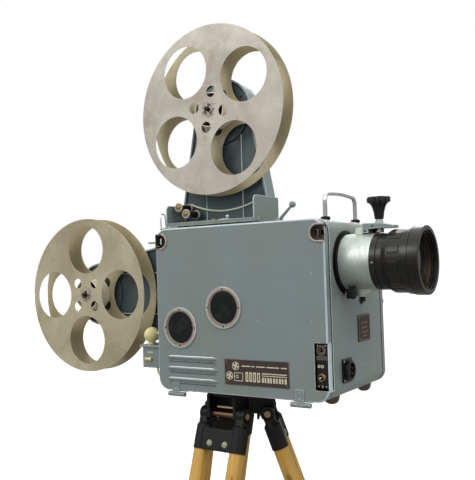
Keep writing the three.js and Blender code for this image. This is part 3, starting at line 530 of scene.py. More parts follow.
def ball(centre, radius, sides=32):
    bm = bmesh.new()
    bmesh.ops.create_uvsphere(bm, u_segments=sides, v_segments=sides // 2, radius=radius)
    bm.transform(Matrix.Translation(centre))
    return bm


def together(*solids):
    """Several closed solids as one piece."""
    whole = bmesh.new()
    for bm in solids:
        mesh = bpy.data.meshes.new("part")
        bm.to_mesh(mesh)
        bm.free()
        whole.from_mesh(mesh)
        bpy.data.meshes.remove(mesh)
    return whole


def moved(bm, matrix):
    bm.transform(matrix)
    return bm


def passing_object(bm):
    """A short-lived object that hands a solid to a modifier."""
    mesh = bpy.data.meshes.new("operand")
    bm.to_mesh(mesh)
    bm.free()
    holder = bpy.data.objects.new("operand", mesh)
    scene.collection.objects.link(holder)
    return holder


def evaluated_solid(holder):
    """The solid that an object's modifiers or curve settings make."""
    bpy.context.view_layer.update()
    mesh = bpy.data.meshes.new_from_object(holder.evaluated_get(bpy.context.evaluated_depsgraph_get()))
    bm = bmesh.new()
    bm.from_mesh(mesh)
    bpy.data.meshes.remove(mesh)
    return bm


def cut(solid, *tools):
    """The solid less each tool in turn, because one exact boolean with overlapping tools can fail."""
    for tool in tools:
        holders = [passing_object(solid), passing_object(tool)]
        modifier = holders[0].modifiers.new("cut", "BOOLEAN")
        modifier.object = holders[1]
        modifier.operation = "DIFFERENCE"
        modifier.solver = "EXACT"
        solid = evaluated_solid(holders[0])
        for holder in holders:
            mesh = holder.data
            bpy.data.objects.remove(holder)
            bpy.data.meshes.remove(mesh)
    return solid


def piece(name, bm, material, body="projector", slot=None, nodes=(), angle=32, grain=None, rim=None):
    """Adds a finished piece: metres, smooth shading with crisp edges, its body, and hides its CAD
    nodes.
    """
    slot = slot or USUAL_SLOT[material.name]
    mesh = bpy.data.meshes.new(name)
    if grain is not None:
        inverse = grain.inverted()
        coordinates = [inverse @ v.co / 1000 for v in bm.verts]
    bm.transform(Matrix.Translation(CORNER) @ Matrix.Scale(0.001, 4))
    bmesh.ops.dissolve_degenerate(bm, dist=1e-7, edges=bm.edges)
    if grain is not None and len(coordinates) != len(bm.verts):
        unit = Matrix.Scale(1000, 4) @ Matrix.Translation(-CORNER)
        coordinates = [inverse @ (unit @ v.co) / 1000 for v in bm.verts]
    bm.to_mesh(mesh)
    bm.free()
    if grain is not None:
        attribute = mesh.attributes.new("grain", "FLOAT_VECTOR", "POINT")
        attribute.data.foreach_set("vector", [c for v in coordinates for c in v])
    mesh.shade_smooth()
    mesh.set_sharp_from_angle(angle=math.radians(angle))
    mesh.materials.append(material)
    # Faces on the rounded rim get the light edge paint: worn paint with a painted highlight.
    if rim is not None:
        across = "xyz".index(rim)
        mesh.materials.append(EDGE_HIGHLIGHT_PAINT)
        for polygon in mesh.polygons:
            polygon.material_index = int(0.2 < abs(polygon.normal[across]) < 0.97)
    obj = bpy.data.objects.new(name, mesh)
    scene.collection.objects.link(obj)
    weighted = obj.modifiers.new("even_shading", "WEIGHTED_NORMAL")
    weighted.keep_sharp = True
    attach(obj, body)
    if nodes:
        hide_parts(*nodes)
    return obj


def screw_head(axis, place, radius, side=-1, height=1.2, turn=0.0):
    """A domed, slotted screw head standing on a face; side is the way it points along the axis."""
    profile = [(0, height), (radius * 0.55, height * 0.92), (radius * 0.9, height * 0.55), (radius, 0),
               (radius, -0.4), (0, -0.4)]
    head = turned("z", (0, 0, 0), profile, 24)
    slot = block((-radius * 1.2, radius * 1.2), (-radius * 0.13, radius * 0.13),
                 (height * 0.45, height * 2), 0)
    head = cut(head, slot)
    aim = {"x": Vector((side, 0, 0)), "y": Vector((0, side, 0)), "z": Vector((0, 0, side))}[axis]
    spin = aim.to_track_quat("Z", "Y").to_matrix().to_4x4() @ Matrix.Rotation(turn, 4, "Z")
    return moved(head, Matrix.Translation(place) @ spin)


def screws(axis, places, radius, side=-1, height=1.2):
    return together(*[screw_head(axis, p, radius, side, height, random.uniform(0, math.pi))
                      for p in places])


# ---------------------------------------------------------------- camera, floor and light

def set_camera():
    """The place and aim that show the object as it was pictured."""
    yaw, pitch, roll = (math.radians(angle) for angle in CAMERA_TURN)
    ahead = Vector((-math.sin(yaw) * math.cos(pitch), math.cos(yaw) * math.cos(pitch), math.sin(pitch)))
    level = Vector((math.cos(yaw), math.sin(yaw), 0))
    upright = level.cross(ahead)
    right = math.cos(roll) * level + math.sin(roll) * upright
    up = -math.sin(roll) * level + math.cos(roll) * upright
    data = bpy.data.cameras.new("camera")
    data.lens = CAMERA_LENS
    data.sensor_width = 36
    data.clip_start = 0.05
    camera = bpy.data.objects.new("camera", data)
    rotation = Matrix((right, up, -ahead)).transposed()
    place = CORNER + CAMERA_PLACE / 1000
    camera.matrix_world = Matrix.Translation(place) @ rotation.to_4x4()
    scene.collection.objects.link(camera)
    scene.camera = camera


def area_light(name, place, target, size, power):
    data = bpy.data.lights.new(name, "AREA")
    data.shape = "DISK"
    data.size = size
    data.energy = power
    light = bpy.data.objects.new(name, data)
    light.location = place
    aim = (Vector(target) - Vector(place)).to_track_quat("-Z", "Y")
    light.rotation_euler = aim.to_euler()
    scene.collection.objects.link(light)


def studio_world():
    """A plain white backdrop that lights the object softly from above and little from below."""
    world = bpy.data.worlds.new("studio")
    world.use_nodes = True
    tree = world.node_tree
    backdrop = tree.nodes["Background"]
    backdrop.inputs["Color"].default_value = (1, 1, 1, 1)
    backdrop.inputs["Strength"].default_value = 1.0
    height = tree.nodes.new("ShaderNodeSeparateXYZ")
    tree.links.new(tree.nodes.new("ShaderNodeTexCoord").outputs["Generated"], height.inputs[0])
    fall = tree.nodes.new("ShaderNodeValToRGB")
    tree.links.new(height.outputs["Z"], fall.inputs[0])
    dome = tree.nodes.new("ShaderNodeBackground")
    tree.links.new(fall.outputs[0], dome.inputs["Color"])
    dome.inputs["Strength"].default_value = DOME_POWER
    for stop, level in zip(fall.color_ramp.elements, (DOME_HORIZON, 1.0)):
        stop.color = (level, level, level * 0.98, 1)
    fall.color_ramp.elements[1].position = 0.85
    choice = tree.nodes.new("ShaderNodeMixShader")
    tree.links.new(tree.nodes.new("ShaderNodeLightPath").outputs["Is Camera Ray"], choice.inputs[0])
    tree.links.new(dome.outputs[0], choice.inputs[1])
    tree.links.new(backdrop.outputs[0], choice.inputs[2])
    tree.links.new(choice.outputs[0], tree.nodes["World Output"].inputs["Surface"])
    return world


def set_studio():
    scene.world = studio_world()
    scene.view_settings.view_transform = "Standard"
    centre = (cad_low + cad_high) / 2
    area_light("key", (-1.3, -2.4, 3.1), (0, 0, 1.2), 1.5, 34)
    area_light("side", (2.6, -0.6, 2.4), (0.3, 0, 1.1), 1.2, 12)
    area_light("back", (-0.8, 2.6, 2.6), (0, 0, 1.2), 1.5, 22)
    floor = bmesh.new()
    bmesh.ops.create_grid(floor, x_segments=8, y_segments=8, size=40)
    mesh = bpy.data.meshes.new("floor")
    floor.to_mesh(mesh)
    floor.free()
    s = Shader("pale_floor")
    tone = s.blend(s.noise(3, 3), (0.90, 0.90, 0.90, 1), (0.94, 0.94, 0.94, 1))
    mesh.materials.append(s.set(Base_Color=tone, Roughness=0.9))
    obj = bpy.data.objects.new("floor", mesh)
    obj.location = (centre.x, centre.y, cad_low.z)
    obj.visible_diffuse = False
    obj.visible_glossy = False
    scene.collection.objects.link(obj)


set_camera()
set_studio()


# ---------------------------------------------------------------- case

OUTLINE = rounded_box((0, 0), (W, H), R_CASE, 12)
HINGES = ((26, 69), (324, 367))
PIVOT_Y, PIVOT_Z, BARREL_R = 3, -7, 5
LATCHES = {"rear": (14, -1), "front": (394, 1)}
LATCH_Z, LATCH_R, LATCH_FLOOR = 320, 16.5, 9
RIVETS = ((257, 242), (378, 242.5), (256, 151), (376, 152))


def inset(gap):
    """The case outline, smaller all round by gap."""
    return rounded_box((gap, gap), (W - gap, H - gap), R_CASE - gap, 12)


def build_case():
    shell = plate("y", OUTLINE, (16.3, D - 16.3), [inset(3)], bevel=0.9)
    shell = cut(shell, rod("x", (0, FILM_Y, LENS_Z), (W - 12, W + 12), 50, sides=64))
    piece("case_shell", shell, PAINT, nodes=["case_body"], rim="y")
    # Dark bands where cover, case and drive cover meet; the middle band is a painted shade line.
    seam = [plate("y", inset(-0.08), span, [inset(2)], bevel=0.1)
            for span in ((16.1, 20.4), (23.4, 25.2), (D - 20.4, D - 16.1))]
    piece("case_seams_and_shade_line", together(*seam), RUBBER)
    # A light line beside the seam: worn paint with a painted highlight on the case edge.
    line = plate("y", inset(-0.3), (20.4, 23.4), [inset(1)], bevel=0.3)
    piece("case_edge_highlight_line", line, EDGE_HIGHLIGHT_PAINT)
    lip = plate("y", inset(3.2), (17, 26), [inset(5)], bevel=0.4)
    piece("case_seal_lip", lip, RUBBER)
    leaves = []
    for start, end in HINGES:
        third = (end - start) / 3
        for low, high in ((start, start + third - 0.3), (end - third + 0.3, end)):
            leaves.append(rod("x", (0, PIVOT_Y, PIVOT_Z), (low, high), BARREL_R, 0.6, 24))
        leaves.append(block((start, end), (12, 40), (-3.2, -0.2), 0.8))
    pins = [rod("x", (0, PIVOT_Y, PIVOT_Z), (start - 1.5, end + 1.5), 2, 0.6, 16)
            for start, end in HINGES]
    heads = [(x, y, -3.2) for start, end in HINGES for x in (start + 9, end - 9) for y in (20, 33)]
    piece("hinge_leaves", together(*leaves), PAINT)
    piece("hinge_pins", together(*pins), STEEL)
    piece("hinge_screws", screws("z", heads, 3), STEEL)
    foot = [(0, -17), (7, -16.4), (12, -13.5), (15, -8), (16, -2), (16, 0), (0, 0)]
    feet = [turned("z", (x, y, 0), foot, 40) for x, y in ((372, 84), (372, 245), (36, 245), (36, 84))]
    piece("buffer_feet", together(*feet), LATCH_PAINT)
    rod_end = rod("x", (0, 22, 321), (-37, -14), 3.6, 0.8, 24)
    collar = rod("x", (0, 22, 321), (-17, -0.2), 6, 1, 24)
    piece("rear_stay_rod", together(rod_end, collar), SILVER)
    bail = smooth_path([(-4, 27, 350), (-5, 27, 362), (-6, 28, 378), (-6, 32, 383), (-6, 39, 383),
                        (-6, 43, 378), (-5, 44, 362), (-4, 44, 350)], 5)
    piece("rear_bail", tube(bail, 1.5, 12), CHROME)
    piece("rear_bail_clip", block((-7, 6), (24, 47), (347.8, 351.5), 1.2), STEEL)
    back_screws = [(0, y, z) for y in (40, 150, 246) for z in (24, 324)]
    piece("rear_wall_screws", screws("x", back_screws, 4, -1), STEEL)
    edge_screws = [(W, y, z)
                   for y, z in ((72, 96), (66, 25), (172, 48), (262, 26), (262, 322), (182, 322))]
    piece("front_wall_screws", screws("x", edge_screws, 3.4, 1), STEEL)


def louvre(x0, x1, top, face, out, height, steps=10):
    """A pressed louvre with domed ends, standing out from a cover face by out, mouth downwards."""
    section = [(0, 2.5), (0.45, 2.2), (0.8, 1.3), (1.0, 0.2), (0.97, -0.8), (0.5, -height * 0.62),
               (0, -height)]
    stations = [height * (1 - math.cos(math.pi / 2 * i / steps)) for i in range(steps + 1)]
    places = [x0 + s for s in stations] + [x1 - s for s in reversed(stations)]
    swell = [max(math.sin(math.pi / 2 * i / steps), 0.02) for i in range(steps + 1)]
    return lofted([[(x, face + out * a * s, top + b * s) for a, b in section]
                   for x, s in zip(places, swell + swell[::-1])])


def tray(face, open_end, wall, soften, steps=5):
    """A drawn sheet cover: a flat face at Y = face with a skirt that ends at Y = open_end."""
    way = 1 if open_end > face else -1
    turns = [math.pi / 2 * i / steps for i in range(steps + 1)]
    profile = [(soften * (1 - math.sin(a)), soften * (1 - math.cos(a))) for a in turns]
    deep = abs(open_end - face)
    profile += [(0, deep - 0.5), (0.5, deep), (wall, deep), (wall, wall + 1), (wall + 1, wall)]
    return lofted([[(x, face + way * depth, z) for x, z in inset(gap)] for gap, depth in profile])


def build_cover():
    tools = [rod("y", (x, 0, z), (-3, 5), 36.3, 0, 72) for x, z in WINDOWS.values()]
    tools.append(block((379, W + 5), (-3, 30), (23, 112), 0))
    for x, side in LATCHES.values():
        tools.append(rod("y", (x, 0, LATCH_Z), (-3, 5), LATCH_R + 0.2, 0, 48))
        run = sorted((x, x + side * 40))
        tools.append(block(run, (-3, 5), (LATCH_Z - LATCH_R - 0.2, LATCH_Z + LATCH_R + 0.2), 0))
    shell = tray(0, COVER_DEPTH, 2, 4.4)
    for tool in tools:
        shell = cut(shell, tool)
    piece("cover_shell", shell, PAINT, "cover", nodes=["side_cover"], angle=40, rim="y")
    ribs = [louvre(25.5, 157, 26.5 + 23 * i, 0, -5, 9) for i in range(3)]
    # white tubes along the louvre tops: a painted highlight
    crest_highlights = []
    for i in range(3):
        crest = [(29 + 124.5 * t, -3.1 * math.sin(math.pi * t) ** 0.18,
                  28.5 + 23 * i - 2.0 * (2 * t - 1) ** 12)
                 for t in (0.01 + 0.98 * k / 40 for k in range(41))]
        crest_highlights.append(tube(crest, 1.15, 8))
    piece("louvre_crest_highlights", together(*crest_highlights), CREST_HIGHLIGHT_PAINT, "cover")
    piece("cover_louvres", together(*ribs), PAINT, "cover")
    # slate strips under the louvres: a painted shadow beneath each one
    shade_strips = [block((31, 151), (-0.9, 0.2), (15.6 + 23 * i, 17.4 + 23 * i), 0.3) for i in range(3)]
    piece("louvre_shadow_strips", together(*shade_strips), SLATE, "cover", "case_paint")
    knuckles, straps, heads = [], [], []
    for start, end in HINGES:
        third = (end - start) / 3
        knuckles.append(rod("x", (0, PIVOT_Y, PIVOT_Z), (start + third, end - third), BARREL_R, 0.6,
                            24))
        straps.append(block((start + third, end - third), (-1.8, 0.6), (PIVOT_Z, 4), 0.7))
        straps.append(block((start + third - 2.4, end - third + 2.4), (-1.9, 0.6), (-1.2, 23), 0.8))
        heads += [((start + end) / 2, -1.9, z) for z in (6, 17)]
    piece("cover_hinges", together(*knuckles, *straps), PAINT, "cover")
    piece("cover_hinge_screws", screws("y", heads, 1.7, height=0.3), PAINT, "cover")
    domes = [turned("y", (x, 0, z), [(0, -0.7), (0.8, -0.6), (1.3, -0.3), (1.5, 0.1), (0, 0.2)], 24)
             for x, z in RIVETS]
    piece("cover_rivets", together(*domes), RIM_PAINT, "cover", "steel")
    lining = plate("y", inset(6), (2.1, 3.0), [circle((x, z), 37.5) for x, z in WINDOWS.values()],
                   bevel=0.2)
    for x, z in (((366, W), (12, 122)), ((-1, 40), (294, 344)), ((368, W), (294, 344))):
        lining = cut(lining, block(x, (-5, 10), z, 0))
    piece("cover_lining", lining, SLATE, "cover")
    brace = [block((140, 300), (3.1, 7), (258, 264), 1.2), block((216, 224), (3.1, 7), (90, 128), 1.2)]
    piece("cover_braces", together(*brace), PAINT, "cover")


def build_windows():
    for name, (x, z) in WINDOWS.items():
        bezel = [(33.4, 1.6), (33.4, -1.6), (34.4, -2.8), (36, -3.1), (40.6, -3.1), (42.4, -2.3),
                 (43, -1.0), (43, -0.3), (36, -0.3), (36, 3), (33.4, 3), (33.4, 1.6)]
        ring = turned("y", (x, 0, z), bezel, 96)
        piece(f"window_bezel_{name}", ring, BEZEL, "cover", "glass", [f"window_{name}"])
        inner = 41.2
        # the light outer rim of the bezel: worn paint with a painted highlight
        rim = [(inner, -3.2), (inner + 0.9, -3.3), (inner + 1.3, -2.6), (inner + 0.9, -1), (inner, -1),
               (inner, -3.2)]
        piece(f"window_rim_highlight_{name}", turned("y", (x, 0, z), rim, 96), EDGE_HIGHLIGHT_PAINT, "cover", "glass")
        # a black ring in the bezel groove: painted shade
        groove = turned("y", (x, 0, z),
                        [(33.5, -1.9), (35.0, -3.05), (35.9, -3.2), (35.9, -2), (33.5, -1.2),
                         (33.5, -1.9)], 96)
        piece(f"window_groove_shade_{name}", groove, DARK, "cover")
        pane = turned("y", (x, 0, z), [(0, 0.6), (33.2, 0.6), (33.2, 2.6), (0, 2.6)], 72)
        piece(f"window_pane_{name}", pane, GLASS, "cover")
        places = [(x + 38.4 * math.cos(a), -3.0, z + 38.4 * math.sin(a)) for a in around(4)]
        piece(f"window_screws_{name}", screws("y", places, 1.9, -1, 0.7), BRONZE, "cover")
        gasket = hoop("y", (x, 0, z), (36.4, 41), (3.0, 5), 72)
        piece(f"window_gasket_{name}", gasket, RUBBER, "cover")


def build_nameplate():
    x0, x1, z0, z1 = 175, 324, 22.5, 73.7
    base = plate("y", rounded_box((x0, z0), (x1, z1), 1.5, 3), (-1.3, -0.3), bevel=0.3)
    piece("nameplate_base", base, PLATE_BROWN, "cover", nodes=["nameplate"])
    art = []

    def flat(outline, holes=()):
        art.append(plate("y", outline, (-1.48, -1.25), holes, bevel=0.04, segments=1))

    for cx, cz, radius in ((x0 + 27, z0 + 38, 8.5), (x0 + 12, z0 + 18, 8.5)):
        holes = [circle((cx + radius * 0.55 * math.cos(a), cz + radius * 0.55 * math.sin(a)),
                        radius * 0.24, 12) for a in around(4, 0.4)]
        flat(circle((cx, cz), radius, 32), [circle((cx, cz), radius - 0.9, 32)])
        flat(circle((cx, cz), radius * 0.8, 32), holes)
    flat(rounded_box((x0 + 23, z0 + 8), (x0 + 44, z0 + 25), 1.2, 3),
         [rounded_box((x0 + 24.2, z0 + 9.2), (x0 + 42.8, z0 + 23.8), 0.8, 3)])
    flat(circle((x0 + 30, z0 + 17), 3.4, 24), [circle((x0 + 30, z0 + 17), 2.2, 24)])
    for start, end in ((41, 62), (64, 72), (75, 96), (99, 128), (131, 145)):
        flat(rounded_box((x0 + start, z0 + 37.4), (x0 + end, z0 + 39.6), 1, 2))
    for across, wide in ((50, 6.4), (59, 6.4), (68, 6.4), (77, 6.8)):
        flat(rounded_box((x0 + across, z0 + 8), (x0 + across + wide, z0 + 27), 1, 2),
             [rounded_box((x0 + across + 2.2, z0 + 11), (x0 + across + wide - 2.2, z0 + 24), 0.6, 2)])
    flat(rounded_box((x0 + 88, z0 + 24.6), (x0 + 145, z0 + 26.8), 1, 2))
    flat(rounded_box((x0 + 88, z0 + 20.6), (x0 + 145, z0 + 22.2), 0.7, 2))
    for i in range(9):
        across = x0 + 88 + 6.4 * i
        flat(rounded_box((across, z0 + 8), (across + 4.6 - i % 2, z0 + 18), 0.7, 2))
    piece("nameplate_art", together(*art), PLATE_CREAM, "cover")
    pins = [(x, -1.2, z) for x in (x0 + 5.2, x1 - 5.2) for z in (z0 + 5.2, z1 - 5.2)]
    pins = [turned("y", p, [(0, -0.8), (1, -0.6), (1.5, 0.1), (0, 0.1)], 16) for p in pins]
    piece("nameplate_pins", together(*pins), BRASS, "cover")


def build_latches():
    for name, (x, side) in LATCHES.items():
        edge = W - 0.4 if side > 0 else 0.4
        start, end = (90, 270) if side > 0 else (-90, 90)
        half = arc((x, LATCH_Z), LATCH_R, start, end, 24)
        outline = half + ([(edge, LATCH_Z - LATCH_R), (edge, LATCH_Z + LATCH_R)] if side > 0
                          else [(edge, LATCH_Z + LATCH_R), (edge, LATCH_Z - LATCH_R)])
        small = [(x + (a - x) * 0.84, LATCH_Z + (b - LATCH_Z) * 0.84) for a, b in outline]
        if side > 0:
            small = [(edge + 3, b) if abs(a - (x + (edge - x) * 0.84)) < 0.5 else (a, b)
                     for a, b in small]
        cup = plate("y", outline, (-1.6, LATCH_FLOOR + 2), bevel=0.8)
        room = plate("y", small, (-4, LATCH_FLOOR), bevel=0)
        way = block((x - 10, x + 10), (LATCH_FLOOR - 2, 16), (LATCH_Z - 5, LATCH_Z + 5), 0)
        cup = cut(cup, room, way)
        piece(f"latch_cup_{name}", cup, LATCH_PAINT, "cover")
        ring = [Vector((a, -1.3, b)) for a, b in half]
        if side > 0:
            ring = [Vector((edge, -1.3, LATCH_Z + LATCH_R)), *ring,
                    Vector((edge, -1.3, LATCH_Z - LATCH_R))]
        piece(f"latch_ring_{name}", tube(ring, 1.5, 10), BEZEL, "cover", "case_paint")
        if side < 0:
            slot = block((1.6, 8.8), (0.6, 8.6), (LATCH_Z - 9.5, LATCH_Z + 9.5), 0.6)
            piece("latch_slot_rear", slot, DARK, "cover")
            # the lip's light edge paint is worn paint with a painted highlight
            lip = tube([(1.2, 0, LATCH_Z + 10), (1.2, 0, LATCH_Z - 10), (9.6, 0, LATCH_Z - 10)], 0.7, 8)
            piece("latch_lip_rear", lip, EDGE_HIGHLIGHT_PAINT, "cover")
        thumb = block((x - 5, x + 5), (LATCH_FLOOR - 3.2, LATCH_FLOOR - 0.3),
                      (LATCH_Z - 7, LATCH_Z + 7), 0.8)
        stem = block((x - 3, x + 3), (LATCH_FLOOR - 3, COVER_DEPTH + 6), (LATCH_Z - 4, LATCH_Z + 4),
                     0.5)
        nose = block(sorted((x + side * 1, x + side * 8)), (COVER_DEPTH + 2, COVER_DEPTH + 6),
                     (LATCH_Z - 4, LATCH_Z + 4), 0.8)
        piece(f"latch_slider_{name}", together(thumb, stem, nose), IRON, f"{name}_latch",
              nodes=[f"latch_{name}"])
        tongue = block((x - 1.8, x + 1.8), (1.2, LATCH_FLOOR - 3), (LATCH_Z - 6.6, LATCH_Z + 6.6), 0.9)
        piece(f"latch_tongue_{name}", tongue, SILVER if side < 0 else LATCH_PAINT, f"{name}_latch",
              "steel")


def build_switches():
    panel = plate("y", rounded_box((380.2, 27), (403.8, 110), 2, 4), (5, 20), bevel=0.6)
    panel = cut(panel, rod("y", (SWITCH_X, 0, SOCKET_Z), (3, 11), 7, 0, 40),
                block((387, 395), (3, 13), (40, 54), 0))
    piece("switch_panel_face", panel, PLASTIC, nodes=["switch_panel"])
    socket = turned("y", (SWITCH_X, 0, SOCKET_Z), [(7, 4.2), (9, 4.2), (9.6, 5.1), (7, 5.1), (7, 4.2)],
                    48)
    ring = hoop("y", (SWITCH_X, 0, SOCKET_Z), (4.2, 6.8), (6.5, 10.5), 40)
    piece("panel_socket_ring", together(socket, ring), LATCH_PAINT, "projector", "steel")
    contacts = [rod("y", (SWITCH_X + dx, 0, SOCKET_Z), (7.5, 10.6), 1.1, 0.3, 16) for dx in (-2.2, 2.2)]
    piece("panel_contacts", together(*contacts), BRASS)
    bar = block((381, 403), (4.3, 5.3), (80, 87), 0.4)
    piece("panel_strip", bar, LATCH_PAINT, "projector", "black_plastic")
    dots = [hoop("y", (x, 0, MARKS_Z), (1.6, 2.9), (4.4, 5.2), 24) for x in (386, 393)]
    dots.append(block((391.4, 392.8), (4.4, 5.2), (28, 33), 0.3))
    piece("panel_marks", together(*dots), PLATE_CREAM)
    nut = turned("y", (SWITCH_X, 0, TOGGLE_Z),
                 [(5.4, 4.9), (5.4, 1.2), (6.4, 0.8), (7.4, 1.6), (8.6, 3.6), (9.2, 4.9), (5.4, 4.9)],
                 8)
    piece("toggle_nut", nut, BRASS)
    lever = together(rod("x", (0, 10, TOGGLE_Z), (388, 394), 2.6, 0.3, 24),
                     turned("y", (SWITCH_X, 0, TOGGLE_Z),
                            [(0, -4), (1.5, -3.8), (2.1, -3), (2.1, -1.5), (1.3, 2), (1.3, 9.8),
                             (0, 9.8)], 24))
    piece("toggle_lever", lever, SILVER, "toggle", "steel", ["toggle_switch"])
    corners = [(x, 5, z) for x in (384, 400) for z in (30.5, 106.5)]
    piece("panel_screws", screws("y", corners, 1.7, -1, 0.7), STEEL)
    floor = block((379, 404.6), (20.2, 22), (23, 113), 0.3)
    piece("notch_floor", floor, DARK)
    # the pillar's light edge paint is worn paint with a painted highlight
    pillar = block((404.9, W - 0.3), (3.6, 22), (20, 114.5), 1.2)
    piece("notch_pillar", pillar, EDGE_HIGHLIGHT_PAINT)


def build_drive_side():
    shell = tray(D, D - COVER_DEPTH, 2, 3.2)
    shell = cut(shell, rod("y", (INCHING_X, 0, INCHING_Z), (D - 5, D + 5), 5, 0, 32))
    piece("drive_cover_shell", shell, PAINT, nodes=["drive_cover"], angle=40)
    ribs = [louvre(x0, x1, 250 - 22 * i, D, 5, 9) for i in range(5)
            for x0, x1 in ((60, 180), (220, 340))]
    piece("drive_cover_louvres", together(*ribs), PAINT)
    # dark strips in the louvre mouths: painted shade for the dark inside
    shade_strips = [block((x0, x1), (D - 0.2, D + 0.35), (243 - 22 * i, 248 - 22 * i), 0.1)
             for i in range(5) for x0, x1 in ((67, 173), (227, 333))]
    piece("drive_cover_mouth_shade", together(*shade_strips), DARK)
    places = [(x, D, z) for x in (24, W - 24, W / 2) for z in (24, H - 24)]
    cups = [turned("y", p, [(0, 0.1), (9, 0.1), (9.5, 0.8), (8.6, 1.8), (6, 2.0), (0, 2.0)], 40)
            for p in places]
    piece("drive_cover_cups", together(*cups), SILVER)
    places = [(x, y + 1.8, z) for x, y, z in places]
    piece("drive_cover_screws", screws("y", places, 4.4, 1, 1.6), STEEL)
    grip = [rod("y", (INCHING_X + 14.5 * math.cos(a), 0, INCHING_Z + 14.5 * math.sin(a)),
                (D - 1, D + 20), 2.2, 0, 16) for a in around(18)]
    knob = turned("y", (INCHING_X, 0, INCHING_Z),
                  filleted([(0, D + 1), (14, D + 1), (14, D + 14), (11, D + 17), (5, D + 17),
                            (4, D + 15.5), (0, D + 15.5)], 1), 72)
    knob = together(cut(knob, *grip),
                    rod("y", (INCHING_X, 0, INCHING_Z), (D - 39, D + 1.2), 4, 0.3, 24))
    piece("inching_knob_grip", knob, PLASTIC, "inching", nodes=["inching_knob"])
    washer = hoop("y", (INCHING_X, 0, INCHING_Z), (5.1, 12), (D - 0.1, D + 0.8), 40)
    piece("inching_washer", washer, STEEL)


def build_front_wall():
    face = W
    label = plate("x", rounded_box((141, 100), (202, 154), 3, 4), (face - 0.1, face + 1.6), bevel=0.4)
    piece("front_label_plate", label, PLASTIC)
    rim = plate("x", rounded_box((143, 102), (200, 152), 2, 4), (face + 1.4, face + 2.0),
                [rounded_box((144.6, 103.6), (198.4, 150.4), 1.5, 4)], bevel=0.1)
    bars = [block((face + 1.5, face + 1.9), (155 + 2 * (i % 2), 188 - 3 * (i % 2)), (z, z + 2.6), 0.1)
            for i, z in enumerate((136, 126, 117, 109))]
    piece("front_label_rim", together(rim, *bars), BRASS, "projector", "brown_plate")
    pins = [(face + 1.6, y, z) for y in (147.5, 195.5) for z in (106.5, 147.5)]
    piece("front_label_pins", screws("x", pins, 1.8, 1, 0.8), BRASS)
    stud = turned("x", (0, 164, 185),
                  [(0, face), (9, face), (9, face + 2), (7, face + 3), (6, face + 3), (5, face + 1),
                   (0, face + 1)], 40)
    piece("front_lamp_stud", stud, PLASTIC)
    seat = turned("x", (0, FILM_Y, LENS_Z), [(50.5, face - 0.1), (64, face - 0.1), (64, face + 1.2),
                                             (61.2, face + 1.2), (61.2, face + 0.2), (50.5, face + 0.2),
                                             (50.5, face - 0.1)], 96)
    piece("sleeve_seat_ring", seat, PLASTIC)
    flange = plate("x", rounded_box((57, 29), (103, 75), 5, 6), (face + 0.3, face + 4.3), bevel=0.8)
    flange = cut(flange, rod("x", (0, CONNECTOR_Y, CONNECTOR_Z), (face - 5, face + 9), 14, 0, 48))
    piece("connector_flange", flange, PLASTIC, nodes=["front_connector"])
    body = turned("x", (0, CONNECTOR_Y, CONNECTOR_Z),
                  [(0, face + 3), (14, face + 3), (14, face + 4.4), (19, face + 4.4), (19.4, face + 6),
                   (18.6, face + 11), (17, face + 12), (15, face + 12), (14.4, face + 11),
                   (13.6, face + 6), (0, face + 6)], 64)
    piece("connector_shell", body, PLASTIC)
    pins = [rod("x", (0, CONNECTOR_Y + 7.5 * math.cos(a), CONNECTOR_Z + 7.5 * math.sin(a)),
                (face + 5.9, face + 10.5), 1.3, 0.4, 16) for a in around(4, 0.5)]
    piece("connector_pins", together(*pins), BRASS)
    corners = [(face + 4.2, CONNECTOR_Y + dy, CONNECTOR_Z + dz) for dy in (-18.5, 18.5)
               for dz in (-18.5, 18.5)]
    piece("connector_screws", screws("x", corners, 2.6, 1, 1.0), STEEL)


build_case()
build_cover()
build_windows()
build_nameplate()
build_latches()
build_switches()
build_drive_side()
build_front_wall()


# ---------------------------------------------------------------- lens

AXIS = (0, FILM_Y, LENS_Z)
SLEEVE_END = W + 68.8
LENS_TIP = W + 166
CLAMP = Vector((480, FILM_Y, 0))


def curved_pad(x, radius, middle, width, ease=0.5):
    """A raised pad on a barrel along X; x and radius are spans, middle and width angles in degrees."""
    steps = max(6, int(width / 3))
    rings = []
    for i in range(steps + 1):
        a = math.radians(middle - width / 2 + width * i / steps)
        top = radius[1] - (ease if i in (0, steps) else 0)
        column = [(x[0], radius[0]), (x[0], top - ease), (x[0] + ease, top), (x[1] - ease, top),
                  (x[1], top - ease), (x[1], radius[0])]
        rings.append([(px, FILM_Y + r * math.cos(a), LENS_Z + r * math.sin(a)) for px, r in column])
    return lofted(rings)


